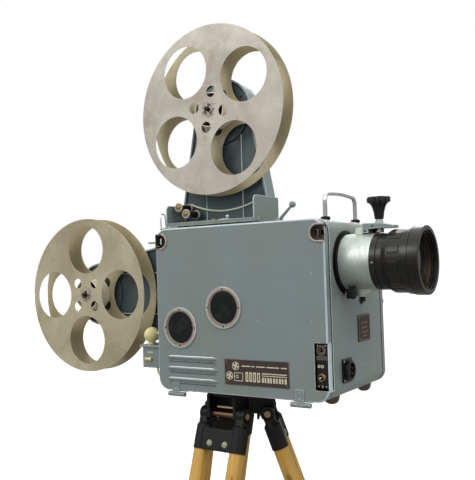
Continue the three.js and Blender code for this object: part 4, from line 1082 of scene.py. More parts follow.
def build_sleeve():
    x0, x1 = W + 0.3, SLEEVE_END
    loop = [(49.2, x0 + 6), (55.5, x0 + 6), (55.5, x1 - 0.8), (54.9, x1), (49.8, x1), (49.2, x1 - 0.6),
            (49.2, x0 + 6)]
    tube_part = turned("x", AXIS, loop, 120)
    loop = [(49.2, x0), (58.4, x0), (59, x0 + 0.6), (59, x0 + 4), (57.4, x0 + 5.9), (49.2, x0 + 5.9),
            (49.2, x0)]
    piece("lens_sleeve_flange", turned("x", AXIS, loop, 120), DARK)
    low = LENS_Z - 55.5
    piece("lens_sleeve_tube", tube_part, SLEEVE_METAL, nodes=["lens_sleeve"])
    lug = plate("y",
                [(W + 2, low - 9), (W + 40, low - 12), (W + 60, low + 1), (W + 60, low + 7),
                 (W + 2, low + 7)], (FILM_Y - 18, FILM_Y + 16), bevel=1.4)
    lug = cut(lug, rod("x", AXIS, (W - 20, W + 90), 55.3, 0, 120),
              block((W - 5, W + 70), (FILM_Y - 1, FILM_Y + 1), (low - 20, low + 20), 0))
    piece("lens_sleeve_lug", lug, SLEEVE_METAL)
    # pale paint on the aluminium boss: a painted highlight
    boss = plate("y", [(W + 24, LENS_Z + 52), (W + 41.6, LENS_Z + 52), (W + 41.6, LENS_Z + 67),
                       (W + 29, LENS_Z + 67)], (FILM_Y - 13, FILM_Y + 13), bevel=1)
    piece("lens_sleeve_boss", boss, PALE_HIGHLIGHT_PAINT, "projector", "aluminium")
    nut = turned("z", (440, FILM_Y, 0),
                 [(0, 184), (3.5, 184.3), (5.8, 186), (6, 192), (4, 194.5), (0, 194.5)], 6)
    piece("sleeve_stop_screw", nut, PLASTIC)


def build_lens():
    x = SLEEVE_END + 0.3
    tail = [(0, W - 45), (43, W - 45), (44, W - 44), (48.7, W - 38), (48.7, x), (54.2, x),
            (54.7, x + 0.6)]
    rings = [(54.7, x + 10.6), (54.3, x + 11.2), (53.2, x + 11.4), (53.2, x + 12.8), (54.3, x + 13),
             (54.7, x + 13.6), (54.7, x + 23), (55.2, x + 24), (57, x + 28), (60, x + 33),
             (60.5, x + 34.4), (60.5, x + 35.6), (59.8, x + 36), (59.8, x + 59), (60.5, x + 59.4),
             (60.5, x + 60.4), (62.2, x + 60.8), (62.6, x + 61.6)]
    front = [(64.6, LENS_TIP - 21), (65, LENS_TIP - 20), (65, LENS_TIP - 1.2), (64.4, LENS_TIP - 0.2),
             (63.6, LENS_TIP), (58, LENS_TIP), (57, LENS_TIP - 0.6), (56.4, LENS_TIP - 4),
             (54.6, LENS_TIP - 4.6), (54, LENS_TIP - 9), (52.4, LENS_TIP - 9.6), (51.6, LENS_TIP - 15),
             (50, LENS_TIP - 15.6), (48.4, LENS_TIP - 25.6), (47.6, LENS_TIP - 26), (0, LENS_TIP - 26)]
    piece("lens_body", turned("x", AXIS, tail + rings + front, 144), LENS_BLACK, "lens",
          nodes=["lens_barrel"], angle=24)
    pads = [curved_pad((x + 36.6, x + 58.4), (59, 60.9), 30 * i + 8, 17) for i in range(12)]
    piece("lens_grip_pads", together(*pads), LENS_BLACK, "lens")
    seam = turned("x", AXIS, [(62.6, LENS_TIP - 23), (65.02, LENS_TIP - 21.4), (65.02, LENS_TIP - 20.6),
                              (62.6, LENS_TIP - 20), (62.6, LENS_TIP - 23)], 144)
    marks = [block((x + 4, x + 8.5), (FILM_Y - 54.9, FILM_Y - 54),
                   (LENS_Z - 2.6 + dz, LENS_Z - 1.9 + dz), 0.1) for dz in (0, 1.6)]
    piece("lens_seam_ring", seam, DARK, "lens")
    piece("lens_index_marks", together(*marks), PLATE_CREAM, "lens")
    studs = [rod("x", (0, FILM_Y + 61 * math.cos(a), LENS_Z + 61 * math.sin(a)),
                 (LENS_TIP - 1, LENS_TIP + 0.1), 1.1, 0.3, 16)
             for a in (1.75, 1.75 + math.tau / 3, 1.75 + 2 * math.tau / 3)]
    piece("lens_ring_studs", together(*studs), BRASS, "lens")
    rim = turned("x", AXIS, [(47.2, LENS_TIP - 25), (48.2, LENS_TIP - 25.2), (52.2, LENS_TIP - 13.5),
                             (52, LENS_TIP - 12.6), (51, LENS_TIP - 13.4), (47.2, LENS_TIP - 25)], 144)
    piece("lens_inner_cone", rim, LENS_BLACK, "lens")
    rim = turned("x", AXIS,
                 [(48.6, LENS_TIP - 19.4), (50.6, LENS_TIP - 13.6), (51.4, LENS_TIP - 12.4),
                  (51.8, LENS_TIP - 13.4), (49.6, LENS_TIP - 20), (48.6, LENS_TIP - 19.4)], 144)
    piece("lens_retaining_ring", rim, BRONZE, "lens")
    glass = [(0, LENS_TIP - 25.7), (47, LENS_TIP - 25.7)]
    glass += [(47 * math.cos(t), LENS_TIP - 25.2 + 8.5 * math.sin(t))
              for t in (math.pi / 2 * i / 16 for i in range(17))]
    piece("lens_front_element", turned("x", AXIS, glass, 96), LENS_GLASS, "lens", nodes=["lens_glass"])
    rear = turned("x", AXIS,
                  [(36, W - 45.6), (42, W - 45.6), (42.6, W - 45), (42.6, W - 44), (36, W - 44),
                   (36, W - 45.6)], 72)
    piece("lens_rear_ring", rear, STEEL, "lens")
    element = [(0, W - 46.2), (18, W - 46), (35.8, W - 44.8), (35.8, W - 44), (0, W - 44)]
    piece("lens_rear_element", turned("x", AXIS, element, 72), LENS_GLASS, "lens")


def build_clamp():
    foot = LENS_Z + 55.5 + 0.3
    x = W + 42
    outline = [(x, foot), (x + 12, foot), (x + 12, foot + 8), (x + 62, foot + 8),
               (x + 63.6, foot + 9.4), (x + 63.6, foot + 13), (x + 41, foot + 17.8),
               (x + 38, foot + 18.3), (x, foot + 19.6)]
    beam = plate("y", outline, (FILM_Y - 15, FILM_Y + 15), bevel=1.1)
    beam = cut(beam, rod("z", CLAMP, (foot - 2, foot + 30), 4.6, 0, 40))
    piece("clamp_bracket_block", beam, RIM_PAINT, nodes=["clamp_bracket"], rim="y")
    shade = block((x + 12.4, x + 34), (FILM_Y + 8.6, FILM_Y + 13), (foot + 0.4, foot + 7.8), 0.3)
    piece("clamp_slot_shade", shade, DARK)
    front = [(x + 21, FILM_Y - 14.8, foot + 12.6), (x + 6, FILM_Y - 14.8, foot + 4)]
    piece("clamp_set_screws", screws("y", front, 2.1, -1, 0.8), IRON)
    pad = rod("z", CLAMP, (foot - 0.2 + 1, foot + 4), 7, 0.6, 32)
    stem = together(pad, rod("z", CLAMP, (foot + 3, 346), 4, 0.4, 32))
    stem = together(stem,
                    turned("z", CLAMP,
                           [(4, 336.8), (7.5, 336.8), (8, 337.4), (8, 340), (6.5, 341), (6.5, 343),
                            (4, 344), (4, 336.8)], 48))
    piece("clamp_screw_stem", stem, SILVER, "clamp_knob_body", "steel")
    sides = 144
    profile = [(0, 343.6), (7.6, 343.6), (8.6, 345), (9.2, 350), (10.2, 358), (12.4, 366), (15.2, 372),
               (18.6, 375.4), (21.6, 376.6), (22.6, 377.6), (22.6, 384.6), (21.4, 386.6), (17, 387),
               (15.6, 386.2), (0, 386.2)]
    knob = turned("z", CLAMP, profile, sides)
    for v in knob.verts:
        dx, dy = v.co.x - CLAMP.x, v.co.y - CLAMP.y
        radius = math.hypot(dx, dy)
        angle = math.atan2(dy, dx)
        lobe = abs(math.cos(3 * angle)) ** 0.7
        depth = min(1, max(0, (v.co.z - 343) / 10)) * (0.16 if v.co.z > 370 else 0.20)
        grow = 1 + depth * (lobe - 0.75)
        if radius > 5:
            v.co.x, v.co.y = CLAMP.x + dx * grow, CLAMP.y + dy * grow
    piece("clamp_knob_grip", knob, PLASTIC, "clamp_knob_body", nodes=["clamp_knob"], angle=38)


def build_focus_knob():
    centre = FOCUS_KNOB
    face = FILM_Y - 20
    profile = [(0, face - 14), (9.4, face - 14), (11.6, face - 13), (12.4, face - 11.4),
               (12.4, face - 9), (10.4, face - 5), (9.6, face - 2.6), (5, face - 1), (4, face),
               (0, face)]
    knob = turned("y", centre, profile, 96)
    for v in knob.verts:
        dx, dz = v.co.x - centre.x, v.co.z - centre.z
        radius, angle = math.hypot(dx, dz), math.atan2(dz, dx)
        if radius > 6:
            grow = 0.85 + 0.13 * math.cos(4 * (angle - math.pi / 4))
            v.co.x, v.co.z = centre.x + dx * grow, centre.z + dz * grow
    piece("focus_knob_grip", knob, PLASTIC, "focus_knob_body", nodes=["focus_knob"], angle=45)
    shaft = rod("y", centre, (face - 0.5, FILM_Y + 12), 3, 0.4, 24)
    piece("focus_knob_shaft", shaft, STEEL, "focus_knob_body")


# ---------------------------------------------------------------- fittings

def build_handle():
    x, near, far, low, top = 380, 67, 214, H + 2.6, 401
    corner = 16
    path = [(x, near, low), (x, near, top - 22)]
    path += [(x, near + corner - corner * math.cos(t), top - corner + corner * math.sin(t))
             for t in (math.pi / 2 * i / 8 for i in range(9))]
    path += [(x, near + corner + (far - near - 2 * corner) * k / 10,
              top + 3 * math.sin(math.pi * k / 10)) for k in range(1, 10)]
    path += [(x, far - corner + corner * math.sin(t), top - corner + corner * math.cos(t))
             for t in (math.pi / 2 * i / 8 for i in range(9))]
    path += [(x, far, top - 22), (x, far, low)]
    piece("carry_handle_bar", tube(path, 4.4, 28), CHROME, nodes=["carry_handle"], angle=50)
    feet = [turned("z", (x, y, 0),
                   [(4.6, H - 0.1), (9.4, H - 0.1), (10, H + 0.8), (9.6, H + 4.8), (7.6, H + 6.2),
                    (4.6, H + 6.2), (4.6, H - 0.1)], 48) for y in (near, far)]
    piece("carry_handle_washers", together(*feet), RUBBER)


def build_terminals():
    x0, x1 = -98, -0.3
    body = block((x0, x1), (62, 112), (34, 80.7), 1.6, 3)
    body = cut(body, block((-90, -68), (58, 64), (48, 60), 0))
    piece("terminal_box_body", body, PAINT, nodes=["terminal_box"])
    lid = block((-104, x1), (58, 114), (80.7, 86), 1.5, 3)
    piece("terminal_box_lid", lid, PAINT)
    strip = block((-84, -66), (61.6, 62.4), (68, 71), 0.2)
    piece("terminal_label", strip, PLATE_CREAM)
    screws_at = [(-93, 62, 39), (-93, 62, 76), (-8, 62, 40), (-8, 62, 74)]
    piece("terminal_screws", screws("y", screws_at, 2.4, -1, 0.9), STEEL)
    lid_screws = [(x, y, 86) for x in (-99, -8) for y in (64, 108)]
    piece("terminal_lid_screws", screws("z", lid_screws, 2.4, 1, 0.9), STEEL)
    insulator = turned("x", (0, 60, 54),
                       [(0, -88), (3, -88), (4.2, -87), (4.2, -81), (3.2, -80), (3.2, -78), (4.2, -77),
                        (4.2, -71), (3, -70), (0, -70)], 32)
    piece("terminal_insulator", insulator, CREAM)
    centre = Vector((-81, 76, 0))
    profile = [(0, 86.2), (9, 86.2), (9.4, 87), (9.4, 91), (8.6, 92), (8.6, 93.2), (10.2, 94.2)]
    profile += [(18 * math.sin(t), 108 - 18 * math.cos(t))
                for t in (math.radians(44 + 136 * i / 9) for i in range(9))]
    profile += [(3, 125.8), (2.4, 125), (0, 125)]
    piece("plug_body", turned("z", centre, profile, 22), CREAM, nodes=["terminal_plug"], angle=28)
    band = turned("z", centre,
                  [(17.6, 106.6), (18.3, 107), (18.3, 108.4), (17.6, 108.8), (17.6, 106.6)], 72)
    piece("plug_band", band, CREAM)
    y = 76
    upper = smooth_path([(-62.6, y, 111), (-52, y, 122), (-43, y, 136), (-31, y, 138), (-19, y, 127),
                         (-8, y, 123), (-0.6, y, 123)], 8)
    piece("upper_lead_sleeve", tube(upper, 2.5, 16), CREAM, nodes=["upper_lead"], angle=50)
    y = 70
    lower = smooth_path([(-60, y, 33.4), (-60, y, 28), (-56, y, 19), (-44, y, 11), (-26, y, 13),
                         (-14, y, 21), (-6, y, 23), (-0.6, y, 23)], 8)
    piece("lower_lead_sleeve", tube(lower, 2.5, 16), CREAM, nodes=["lower_lead"], angle=50)
    grommet = [(2.7, -4), (4, -4), (5.6, -1.5), (5.6, 0), (2.7, 0), (2.7, -4)]
    grommets = [turned("x", (0, y, z), grommet, 32) for y, z in ((76, 123), (70, 23))]
    piece("lead_grommets", together(*grommets), RUBBER)


# ---------------------------------------------------------------- arms and reels

CROWN, TAPER, BASE = 79, 200, 115


def arm_outline(length, gap=0.0):
    """The outline of a reel arm about its hub, its length towards -Z."""
    top = arc((0, 0), CROWN - gap, 188, -8, 32)
    foot = BASE - gap
    return top + [(foot, -TAPER), (foot, -length), (-foot, -length), (-foot, -TAPER)]


def arm_piece(name, bm, material, place, **options):
    piece(name, moved(bm, place), material, **options)


def build_arm(name, length, place):
    """A cast reel arm in its own frame, hub at the origin, placed by a matrix."""
    y0, y1 = ARM_Y
    block_part = plate("y", arm_outline(length), (y0, y1), bevel=2.2, segments=3)
    dish = plate("y", arm_outline(length - 5, 5), (y0 - 8, y0 + 6), bevel=0)
    bore = rod("y", (0, 0, 0), (y0 - 10, y1 + 10), 5.5, 0, 32)
    arm_piece(f"{name}_casting", cut(block_part, dish, bore), RIM_PAINT, place, nodes=[name], rim="y")
    face = y0 + 6
    floor = plate("y", arm_outline(length - 5.4, 5.4), (face - 1, face - 0.1), [circle((0, 0), 6, 32)],
                  bevel=0.2)
    arm_piece(f"{name}_face", floor, SLATE, place)
    panel_top = -math.sqrt(72 ** 2 - 50 ** 2)
    panel = [(-50, -length + 6), (50, -length + 6), (50, panel_top)] + arc((0, 0), 72, -44, -136, 16)
    panel.append((-50, panel_top))
    raised = plate("y", panel, (face - 2.2, face + 0.2), bevel=0.9)
    arm_piece(f"{name}_panel", raised, SLATE, place)
    disc = turned("y", (0, 0, 0),
                  [(12.5, face - 4.2), (68.5, face - 4.2), (70.6, face - 3.6), (71.4, face - 2),
                   (71.4, face + 0.4), (12.5, face + 0.4), (12.5, face - 4.2)], 96)
    arm_piece(f"{name}_cover_disc", disc, SLATE, place)
    groove = turned("y", (0, 0, 0),
                    [(71.5, face + 0.3), (71.5, face - 2.6), (73.2, face - 2.6), (73.2, face + 0.3),
                     (71.5, face + 0.3)], 96)
    arm_piece(f"{name}_disc_seam", groove, DARK, place)
    heads = [(62 * math.cos(a), face - 4.2, 62 * math.sin(a)) for a in around(6, 0.5)]
    arm_piece(f"{name}_disc_screws", screws("y", heads, 2.8, -1, 1), IRON, place)
    bearing = turned("y", (0, 0, 0),
                     [(5.6, y0 - 2), (11, y0 - 2), (12, y0 - 1), (12, face + 1), (5.6, face + 1),
                      (5.6, y0 - 2)], 64)
    arm_piece(f"{name}_bearing", bearing, STEEL, place)
    edges = []
    # light lines on the panel edges: worn paint with a painted highlight
    for side in (-1, 1):
        edges.append(tube([(side * 49.6, face - 2.1, panel_top - 3),
                           (side * 49.6, face - 2.1, -length + 8)], 1.1, 8))
    arm_piece(f"{name}_panel_edge_highlights", together(*edges), EDGE_HIGHLIGHT_PAINT, place)
    back = plate("y", arm_outline(length - 8, 8), (y1 - 0.2, y1 + 1.2), bevel=0.5)
    arm_piece(f"{name}_back_lid", back, RIM_PAINT, place)
    hub_cap = turned("y", (0, 0, 0),
                     [(5.6, y1 + 1), (20, y1 + 1), (22, y1 + 2.4), (20, y1 + 4.4), (7, y1 + 5),
                      (5.6, y1 + 5), (5.6, y1 + 1)], 64)
    arm_piece(f"{name}_back_cap", hub_cap, STEEL, place)
    spots = [(x, y1 + 1.1, z) for x, z in ((-60, -28), (60, -28), (-98, -TAPER + 2), (98, -TAPER + 2),
                                           (-98, -length + 16), (98, -length + 16), (0, 62))]
    arm_piece(f"{name}_back_screws", screws("y", spots, 3.4, 1, 1.2), STEEL, place)


def build_arms():
    feed = Matrix.Translation(FEED_HUB)
    take_up = Matrix.Translation(TAKE_UP_HUB) @ Matrix.Rotation(-math.pi / 2, 4, "Y")
    build_arm("feed_arm", FEED_HUB.z - 356.6, feed)
    build_arm("take_up_arm", -TAKE_UP_HUB.x - 0.3, take_up)
    face = ARM_Y[0] + 6
    # the rail's pale paint is a painted highlight along its edge
    rib = [(223 * math.cos(a), face - 3.4, 223 * math.sin(a))
           for a in (math.radians(-115 + 50 * i / 24) for i in range(25))]
    arm_piece("feed_arm_film_rail", tube(rib, 2.3, 12), PALE_HIGHLIGHT_PAINT, feed, slot="case_paint")
    flange = plate("x", rounded_box((123, 84), (164, 321), 3, 4), (-2.2, -0.3), bevel=0.5)
    piece("take_up_arm_foot", flange, RIM_PAINT)


def build_bracket():
    x0, x1 = FEED_HUB.x - BASE - 3, FEED_HUB.x + BASE + 3
    y0, y1 = 62, 168
    base = block((x0, x1), (y0, y1), (H + 0.3, 356.3), 0.8)
    lip = block((x0, x1), (y0, y0 + 2.6), (H + 2, 364), 0.8)
    cheeks = []
    for x, top in (((x0, x0 + 2.7), 405), ((x1 - 2.7, x1), 412)):
        outline = [(y0, H + 1), (y1, H + 1), (y1, top)] + arc((y0 + 12, top - 12), 12, 90, 180, 10)
        cheeks.append(plate("x", outline, x, bevel=0.9))
    piece("arm_bracket_tray", together(base, lip), PAINT, nodes=["arm_bracket"])
    piece("arm_bracket_cheeks", together(*cheeks), PAINT, rim="x")
    hooks = [(x0 + 60, 92, 356.3), (x0 + 130, 92, 356.3), (x0 + 196, 92, 356.3)]
    piece("bracket_floor_screws", screws("z", hooks, 4, 1, 2.4), BRASS)
    post = turned("z", (x0 + 160, 76, 0),
                  [(0, 356), (5, 356), (5, 358), (3, 359), (3, 368), (4.4, 369), (4.4, 372), (2.6, 374),
                   (0, 374)], 32)
    piece("bracket_post", post, SILVER)
    wing = tube(smooth_path([(x0 + 160, 76, 366), (x0 + 138, 80, 365), (x0 + 112, 78, 360.5)], 6), 1.6,
                12)
    piece("bracket_spring", wing, SILVER)
    knob = turned("z", (x0 + 118, 84, 0),
                  [(0, 356), (3, 356), (3, 362), (6, 363), (6.6, 365), (6, 368), (0, 368.6)], 24)
    piece("bracket_brass_knob", knob, BRASS)
    edge = block((x0 + 38, x1 - 8), (y0 + 10, y0 + 12.4), (356, 359.4), 0.8)
    piece("bracket_film_edge", edge, RIM_PAINT)
    foot = block((x0 - 0.2, x0 + 34), (y0 - 2.2, y0 + 0.4), (H + 1, H + 9), 0.9)
    piece("bracket_front_tab", foot, PAINT)
    tabs = [(x0 + 10, y0 - 2.2, H + 5), (x0 + 26, y0 - 2.2, H + 5)]
    piece("bracket_tab_screws", screws("y", tabs, 2.2, -1, 0.8), STEEL)
    sides = [(x1, y, z) for y, z in ((80, 362), (150, 362), (150, 400))]
    piece("bracket_cheek_screws", screws("x", sides, 3, 1, 1.2), STEEL)


def flange_outline(turn):
    """The rim of a reel flange and its four large and four small holes, turned by degrees."""
    holes = []
    for i in range(4):
        a = math.radians(turn + 90 * i)
        holes.append(circle((112.5 * math.cos(a), 112.5 * math.sin(a)), 59.5, 96))
        a = math.radians(turn + 45 + 90 * i)
        holes.append(circle((40 * math.cos(a), 40 * math.sin(a)), 12.5, 40))
    return circle((0, 0), REEL_R, 180), holes


def build_reel(name, body, hub, turn, material, inner):
    outline, holes = flange_outline(turn)
    place = Matrix.Translation(hub)
    front = plate("y", outline, FLANGE_Y[:2], holes + [circle((0, 0), 6.2, 24)], bevel=0.35)
    piece(f"{name}_front_disc", moved(front, place), material, body, "reel_metal",
          [f"{name}_front_flange"])
    back = plate("y", outline, FLANGE_Y[2:], holes + [circle((0, 0), 6.2, 24)], bevel=0.35)
    piece(f"{name}_back_disc", moved(back, place), inner, body, "reel_metal", [name])
    drum = hoop("y", hub, (36.8, 38), (75.8, 118.5), 96)
    piece(f"{name}_drum", drum, DRUM_PAINT, body)
    tube_part = hoop("y", hub, (8, 11), (75.4, 118.8))
    webs = []
    for i in range(4):
        web = block((10.5, 37.2), (84, 110), (-1, 1), 0.4)
        webs.append(moved(web, place @ Matrix.Rotation(math.radians(turn + 90 * i), 4, "Y")))
    piece(f"{name}_hub_tube", together(tube_part, *webs), RUST, body)
    boss = turned("y", hub, [(5.2, 74.3), (5.6, 73.4), (12.6, 73.4), (13.4, 74.3), (5.2, 74.3)], 48)
    rivets = [turned("y", hub + Vector((22 * math.cos(a), 0, 22 * math.sin(a))),
                     [(0, 73.0), (1.6, 73.2), (2.6, 74.35), (0, 74.4)], 20)
              for a in (math.radians(turn + 90 * i) for i in range(4))]
    piece(f"{name}_hub_boss", together(boss, *rivets), material, body, "reel_metal")
    square = block((-3.6, 3.6), (63.6, 76), (-3.6, 3.6), 0.5)
    square = moved(square, place @ Matrix.Rotation(math.radians(turn + 12), 4, "Y"))
    shaft = rod("y", hub, (74, ARM_Y[1] + 5.9), 4.9, 0.4, 32)
    catch = moved(block((-2, 2), (62, 64.4), (-3, 9), 0.8),
                  place @ Matrix.Rotation(math.radians(turn + 150), 4, "Y"))
    piece(f"{name}_spindle", together(square, shaft, catch), IRON, body)
    clutch = turned("y", hub,
                    [(5, 120.0), (52.6, 120.0), (54.4, 120.4), (54.4, 122.2), (54, 122.5), (5, 122.5),
                     (5, 120.0)], 96)
    piece(f"{name}_clutch_disc", clutch, LENS_BLACK, body)


def build_reels():
    feed = reel_metal("feed_reel_metal", FEED_HUB, srgb(190, 185, 174), srgb(164, 157, 145))
    take_up = reel_metal("take_up_reel_metal", TAKE_UP_HUB, srgb(180, 170, 144), srgb(154, 143, 116))
    far = reel_metal("reel_far_metal", FEED_HUB, srgb(178, 167, 134), srgb(154, 142, 110))
    build_reel("feed_reel", "feed_spool", FEED_HUB, 34, feed, far)
    build_reel("take_up_reel", "take_up_spool", TAKE_UP_HUB, 0, take_up, far)


def build_rollers():
    for name, body, node, x, z in (("rear_roller", "rear_roller", "guide_roller_rear", 6.6, 400),
                                   ("front_roller", "front_roller", "guide_roller_front", 27, 384)):
        centre = (x, 0, z)
        discs = [turned("y", centre,
                        [(0, a + 0.4), (9.6, a + 0.4), (10.5, a + 1), (10.5, a + 4), (9.4, a + 4.6),
                         (0, a + 4.6)], 48) for a in (76, 114)]
        piece(f"{name}_discs", together(*discs), BEZEL, body, "steel", [node])
        core = turned("y", centre,
                      [(0, 80), (8, 80), (8, 84), (6.2, 85), (6.2, 110), (8, 111), (8, 115), (0, 115)],
                      48)
        piece(f"{name}_core", core, RUBBER, body)
        hub = turned("y", centre, [(0, 74.9), (3.2, 75.1), (4.4, 75.9), (4.4, 76.5), (0, 76.5)], 32)
        ring = turned("y", centre, [(5.4, 76.5), (5.4, 75.9), (6.6, 75.9), (6.6, 76.5), (5.4, 76.5)],
                      40)
        piece(f"{name}_caps", together(hub, ring), BRASS, body)
        pin = rod("y", centre, (118, ARM_Y[0] - 0.3), 3.6, 0.3, 24)
        piece(f"{name}_axle", pin, STEEL, body)


def build_lever():
    pivot, end = Vector((258, 96, H + 7)), Vector((296, 88, 386))
    stem = [pivot.lerp(end, t / 6) for t in range(7)]
    sizes = [3.6, 3.5, 3.3, 3.1, 2.9, 2.8, 2.8]
    arm = together(tube(stem, sizes, 20), ball(end, 7, sides=40))
    piece("lever_arm_and_ball", arm, RIM_PAINT, "lever", nodes=["ball_lever"], angle=50)
    barrel = turned("y", (pivot.x, 0, pivot.z),
                    [(0, 88), (5.6, 88), (6.4, 88.8), (6.4, 103.2), (5.6, 104), (0, 104)], 40)
    piece("lever_barrel", barrel, STEEL, "lever")


build_sleeve()
build_lens()
build_clamp()
build_focus_knob()
build_handle()
build_terminals()
build_arms()
build_bracket()
build_reels()
build_rollers()
build_lever()


# ---------------------------------------------------------------- mechanism behind the cover

SPROCKETS = {"upper": (275, 300, "upper_wheel"), "intermittent": (336, 188, "intermittent_wheel"),
             "lower": (262, 112, "lower_wheel")}
PLATE_Y = (132, 136)
SHUTTER = Vector((308, 160, 232))
SHUTTER_R = 78


def build_mechanism_plate():
    sheet = plate("y", inset(3.5), PLATE_Y, [circle((x, z), 5, 24) for x, z, _ in SPROCKETS.values()],
                  bevel=0.6)
    reach = math.sqrt(SHUTTER_R ** 2 - (SHUTTER.y - PLATE_Y[1]) ** 2) + 4
    slot = block((SHUTTER.x - 5, SHUTTER.x + 7), (125, 145), (SHUTTER.z - reach, SHUTTER.z + reach), 0)
    tail = block((W - 51, W + 5), (125, 145), (LENS_Z - 53, LENS_Z + 53), 0)
    piece("mechanism_sheet", cut(sheet, slot, tail), MACHINE_GREY, nodes=["mechanism_plate"])
    heads = [(x, PLATE_Y[0], z)
             for x, z in ((22, 22), (W - 24, 22), (22, H - 22), (W / 2, 22), (W / 2, H - 16),
                          (22, H / 2), (300, 40), (90, 200))]
    piece("mechanism_screws", screws("y", heads, 4, -1, 1.6), STEEL)
    ribs = [block((12, 104), (126, 132.2), (214, 218), 1),
            block((168, 172), (126, 132.2), (20, 212), 1), block((172, 352), (126, 132.2), (40, 44), 1)]
    piece("mechanism_ribs", together(*ribs), MACHINE_GREY)


def build_sprockets():
    for name, (x, z, body) in SPROCKETS.items():
        y0, y1 = FILM_Y - 17, FILM_Y + 17
        centre = Vector((x, 0, z))
        profile = [(0, y0 - 1), (4, y0 - 1), (4.6, y0), (11, y0), (12, y0 + 0.6), (14.4, y0 + 0.8),
                   (15, y0 + 1.4), (15, y0 + 5), (13, y0 + 6), (13, y1 - 6), (15, y1 - 5),
                   (15, y1 - 0.6), (14.4, y1), (4, y1), (4, PLATE_Y[1] + 10), (0, PLATE_Y[1] + 10)]
        drum = turned("y", centre, profile, 64)
        teeth = []
        for row in (y0 + 3.2, y1 - 2.8):
            for i in range(16):
                tooth = turned("z", (0, 0, 0),
                               [(0, 16.4), (0.5, 16.2), (1.0, 15.2), (1.1, 14.4), (0, 14.4)], 8)
                turn = Matrix.Rotation(math.tau * i / 16, 4, "Y")
                teeth.append(moved(tooth, Matrix.Translation(centre + Vector((0, row, 0))) @ turn))
        piece(f"{name}_sprocket_wheel", together(drum, *teeth), STEEL, body, nodes=[f"{name}_sprocket"])
        cap = turned("y", centre,
                     [(0, y0 - 2.4), (3, y0 - 2.2), (5, y0 - 1.4), (5, y0 - 0.2), (0, y0 - 0.2)], 6)
        piece(f"{name}_sprocket_nut", cap, BRASS, body)
        shoe = []
        for lean in (150, 30):
            a = math.radians(lean)
            spot = centre + Vector((24.5 * math.cos(a), 0, 24.5 * math.sin(a)))
            shoe.append(turned("y", spot,
                               [(0, y0 + 1), (5.4, y0 + 1), (6, y0 + 1.6), (6, y0 + 5), (4.4, y0 + 6),
                                (4.4, y1 - 6), (6, y1 - 5), (6, y1 - 1.6), (5.4, y1 - 1), (2.4, y1 - 1),
                                (2.4, PLATE_Y[0] - 0.2), (0, PLATE_Y[0] - 0.2)], 32))
        piece(f"{name}_pad_rollers", together(*shoe), RUBBER)
        plate_part = rod("y", centre, (PLATE_Y[0] - 4, PLATE_Y[0] + 0.2), 32, 0.8, 64)
        bore = rod("y", centre, (PLATE_Y[0] - 8, PLATE_Y[0] + 4), 5, 0, 32)
        slit = block((SHUTTER.x - 4, SHUTTER.x + 6), (PLATE_Y[0] - 8, PLATE_Y[0] + 4),
                     (SHUTTER.z - 70, SHUTTER.z + 70), 0)
        piece(f"{name}_bearing_plate", cut(plate_part, bore, slit), SILVER)


def build_gate():
    block_part = block((320, 340), (78, 116), (212, 318), 1.2)
    window = block((310, 350), (FILM_Y - 11, FILM_Y + 11), (LENS_Z - 8, LENS_Z + 8), 0)
    track = block((328, 330), (FILM_Y - 17.6, FILM_Y + 17.6), (200, 330), 0)
    piece("film_gate_block", cut(block_part, window, track), STEEL, nodes=["film_gate"])
    arms = [block((322, 338), (115.5, 132), (z, z + 12), 1) for z in (224, 294)]
    piece("gate_brackets", together(*arms), MACHINE_GREY)
    handle = [rod("y", (334, 0, 306), (64, 78.4), 2.4, 0.4, 20),
              rod("y", (334, 0, 306), (58, 66), 5.5, 1, 32)]
    piece("gate_handle", together(*handle), PLASTIC)
    skates = [block((340, 343), (y, y + 4), (222, 308), 0.9) for y in (80, 110)]
    piece("gate_skates", together(*skates), BRASS)
    hinge = rod("z", (341.5, 80, 0), (214, 316), 1.6, 0.3, 16)
    piece("gate_hinge_pin", hinge, STEEL)


def build_lamp_house():
    (x0, x1), (y0, y1), (z0, z1) = (110, 250), (30, 127), (226, 334)
    shell = block((x0, x1), (y0, y1), (z0, z1), 2.4, 3)
    inside = block((x0 + 2, x1 - 2), (y0 + 2, y1 + 5), (z0 + 2, z1 - 2), 0)
    light = rod("x", AXIS, (x1 - 8, x1 + 8), 22, 0, 48)
    vents = [block((x0 + 16 + 15 * i, x0 + 22 + 15 * i), (y0 + 14, y1 - 14), (z1 - 6, z1 + 6), 0)
             for i in range(8)]
    shell = cut(shell, inside, light)
    shell = cut(shell, *vents)
    piece("lamp_house_shell", shell, HEAT_BLACK, nodes=["lamp_house"])
    ribs = [block((x0 + 12, x1 - 12), (y0 - 2.2, y0 + 0.4), (z0 + 18 + 13 * i, z0 + 22 + 13 * i), 1.2)
            for i in range(6)]
    piece("lamp_house_ribs", together(*ribs), HEAT_BLACK)
    corners = [(x, y0, z) for x in (x0 + 8, x1 - 8) for z in (z0 + 8, z1 - 8)]
    piece("lamp_house_screws", screws("y", corners, 3, -1, 1.2), STEEL)
    ring = turned("x", AXIS,
                  [(18, x1 - 2), (24, x1 - 2), (24, x1 + 8), (22.6, x1 + 9), (18, x1 + 9),
                   (18, x1 - 2)], 64)
    piece("condenser_ring", ring, SILVER)
    glass = turned("x", AXIS,
                   [(0, x1 + 7.6), (10, x1 + 6.4), (17.8, x1 + 3), (17.8, x1 - 1), (0, x1 - 1)], 48)
    piece("condenser_lens", glass, GLASS)
    latch_part = turned("y", (x1 - 20, 0, (z0 + z1) / 2),
                        [(0, y0 - 9), (6, y0 - 9), (7, y0 - 8), (7, y0 - 3), (4, y0 - 2), (4, y0 + 0.4),
                         (0, y0 + 0.4)], 24)
    piece("lamp_house_knob", latch_part, PLASTIC)


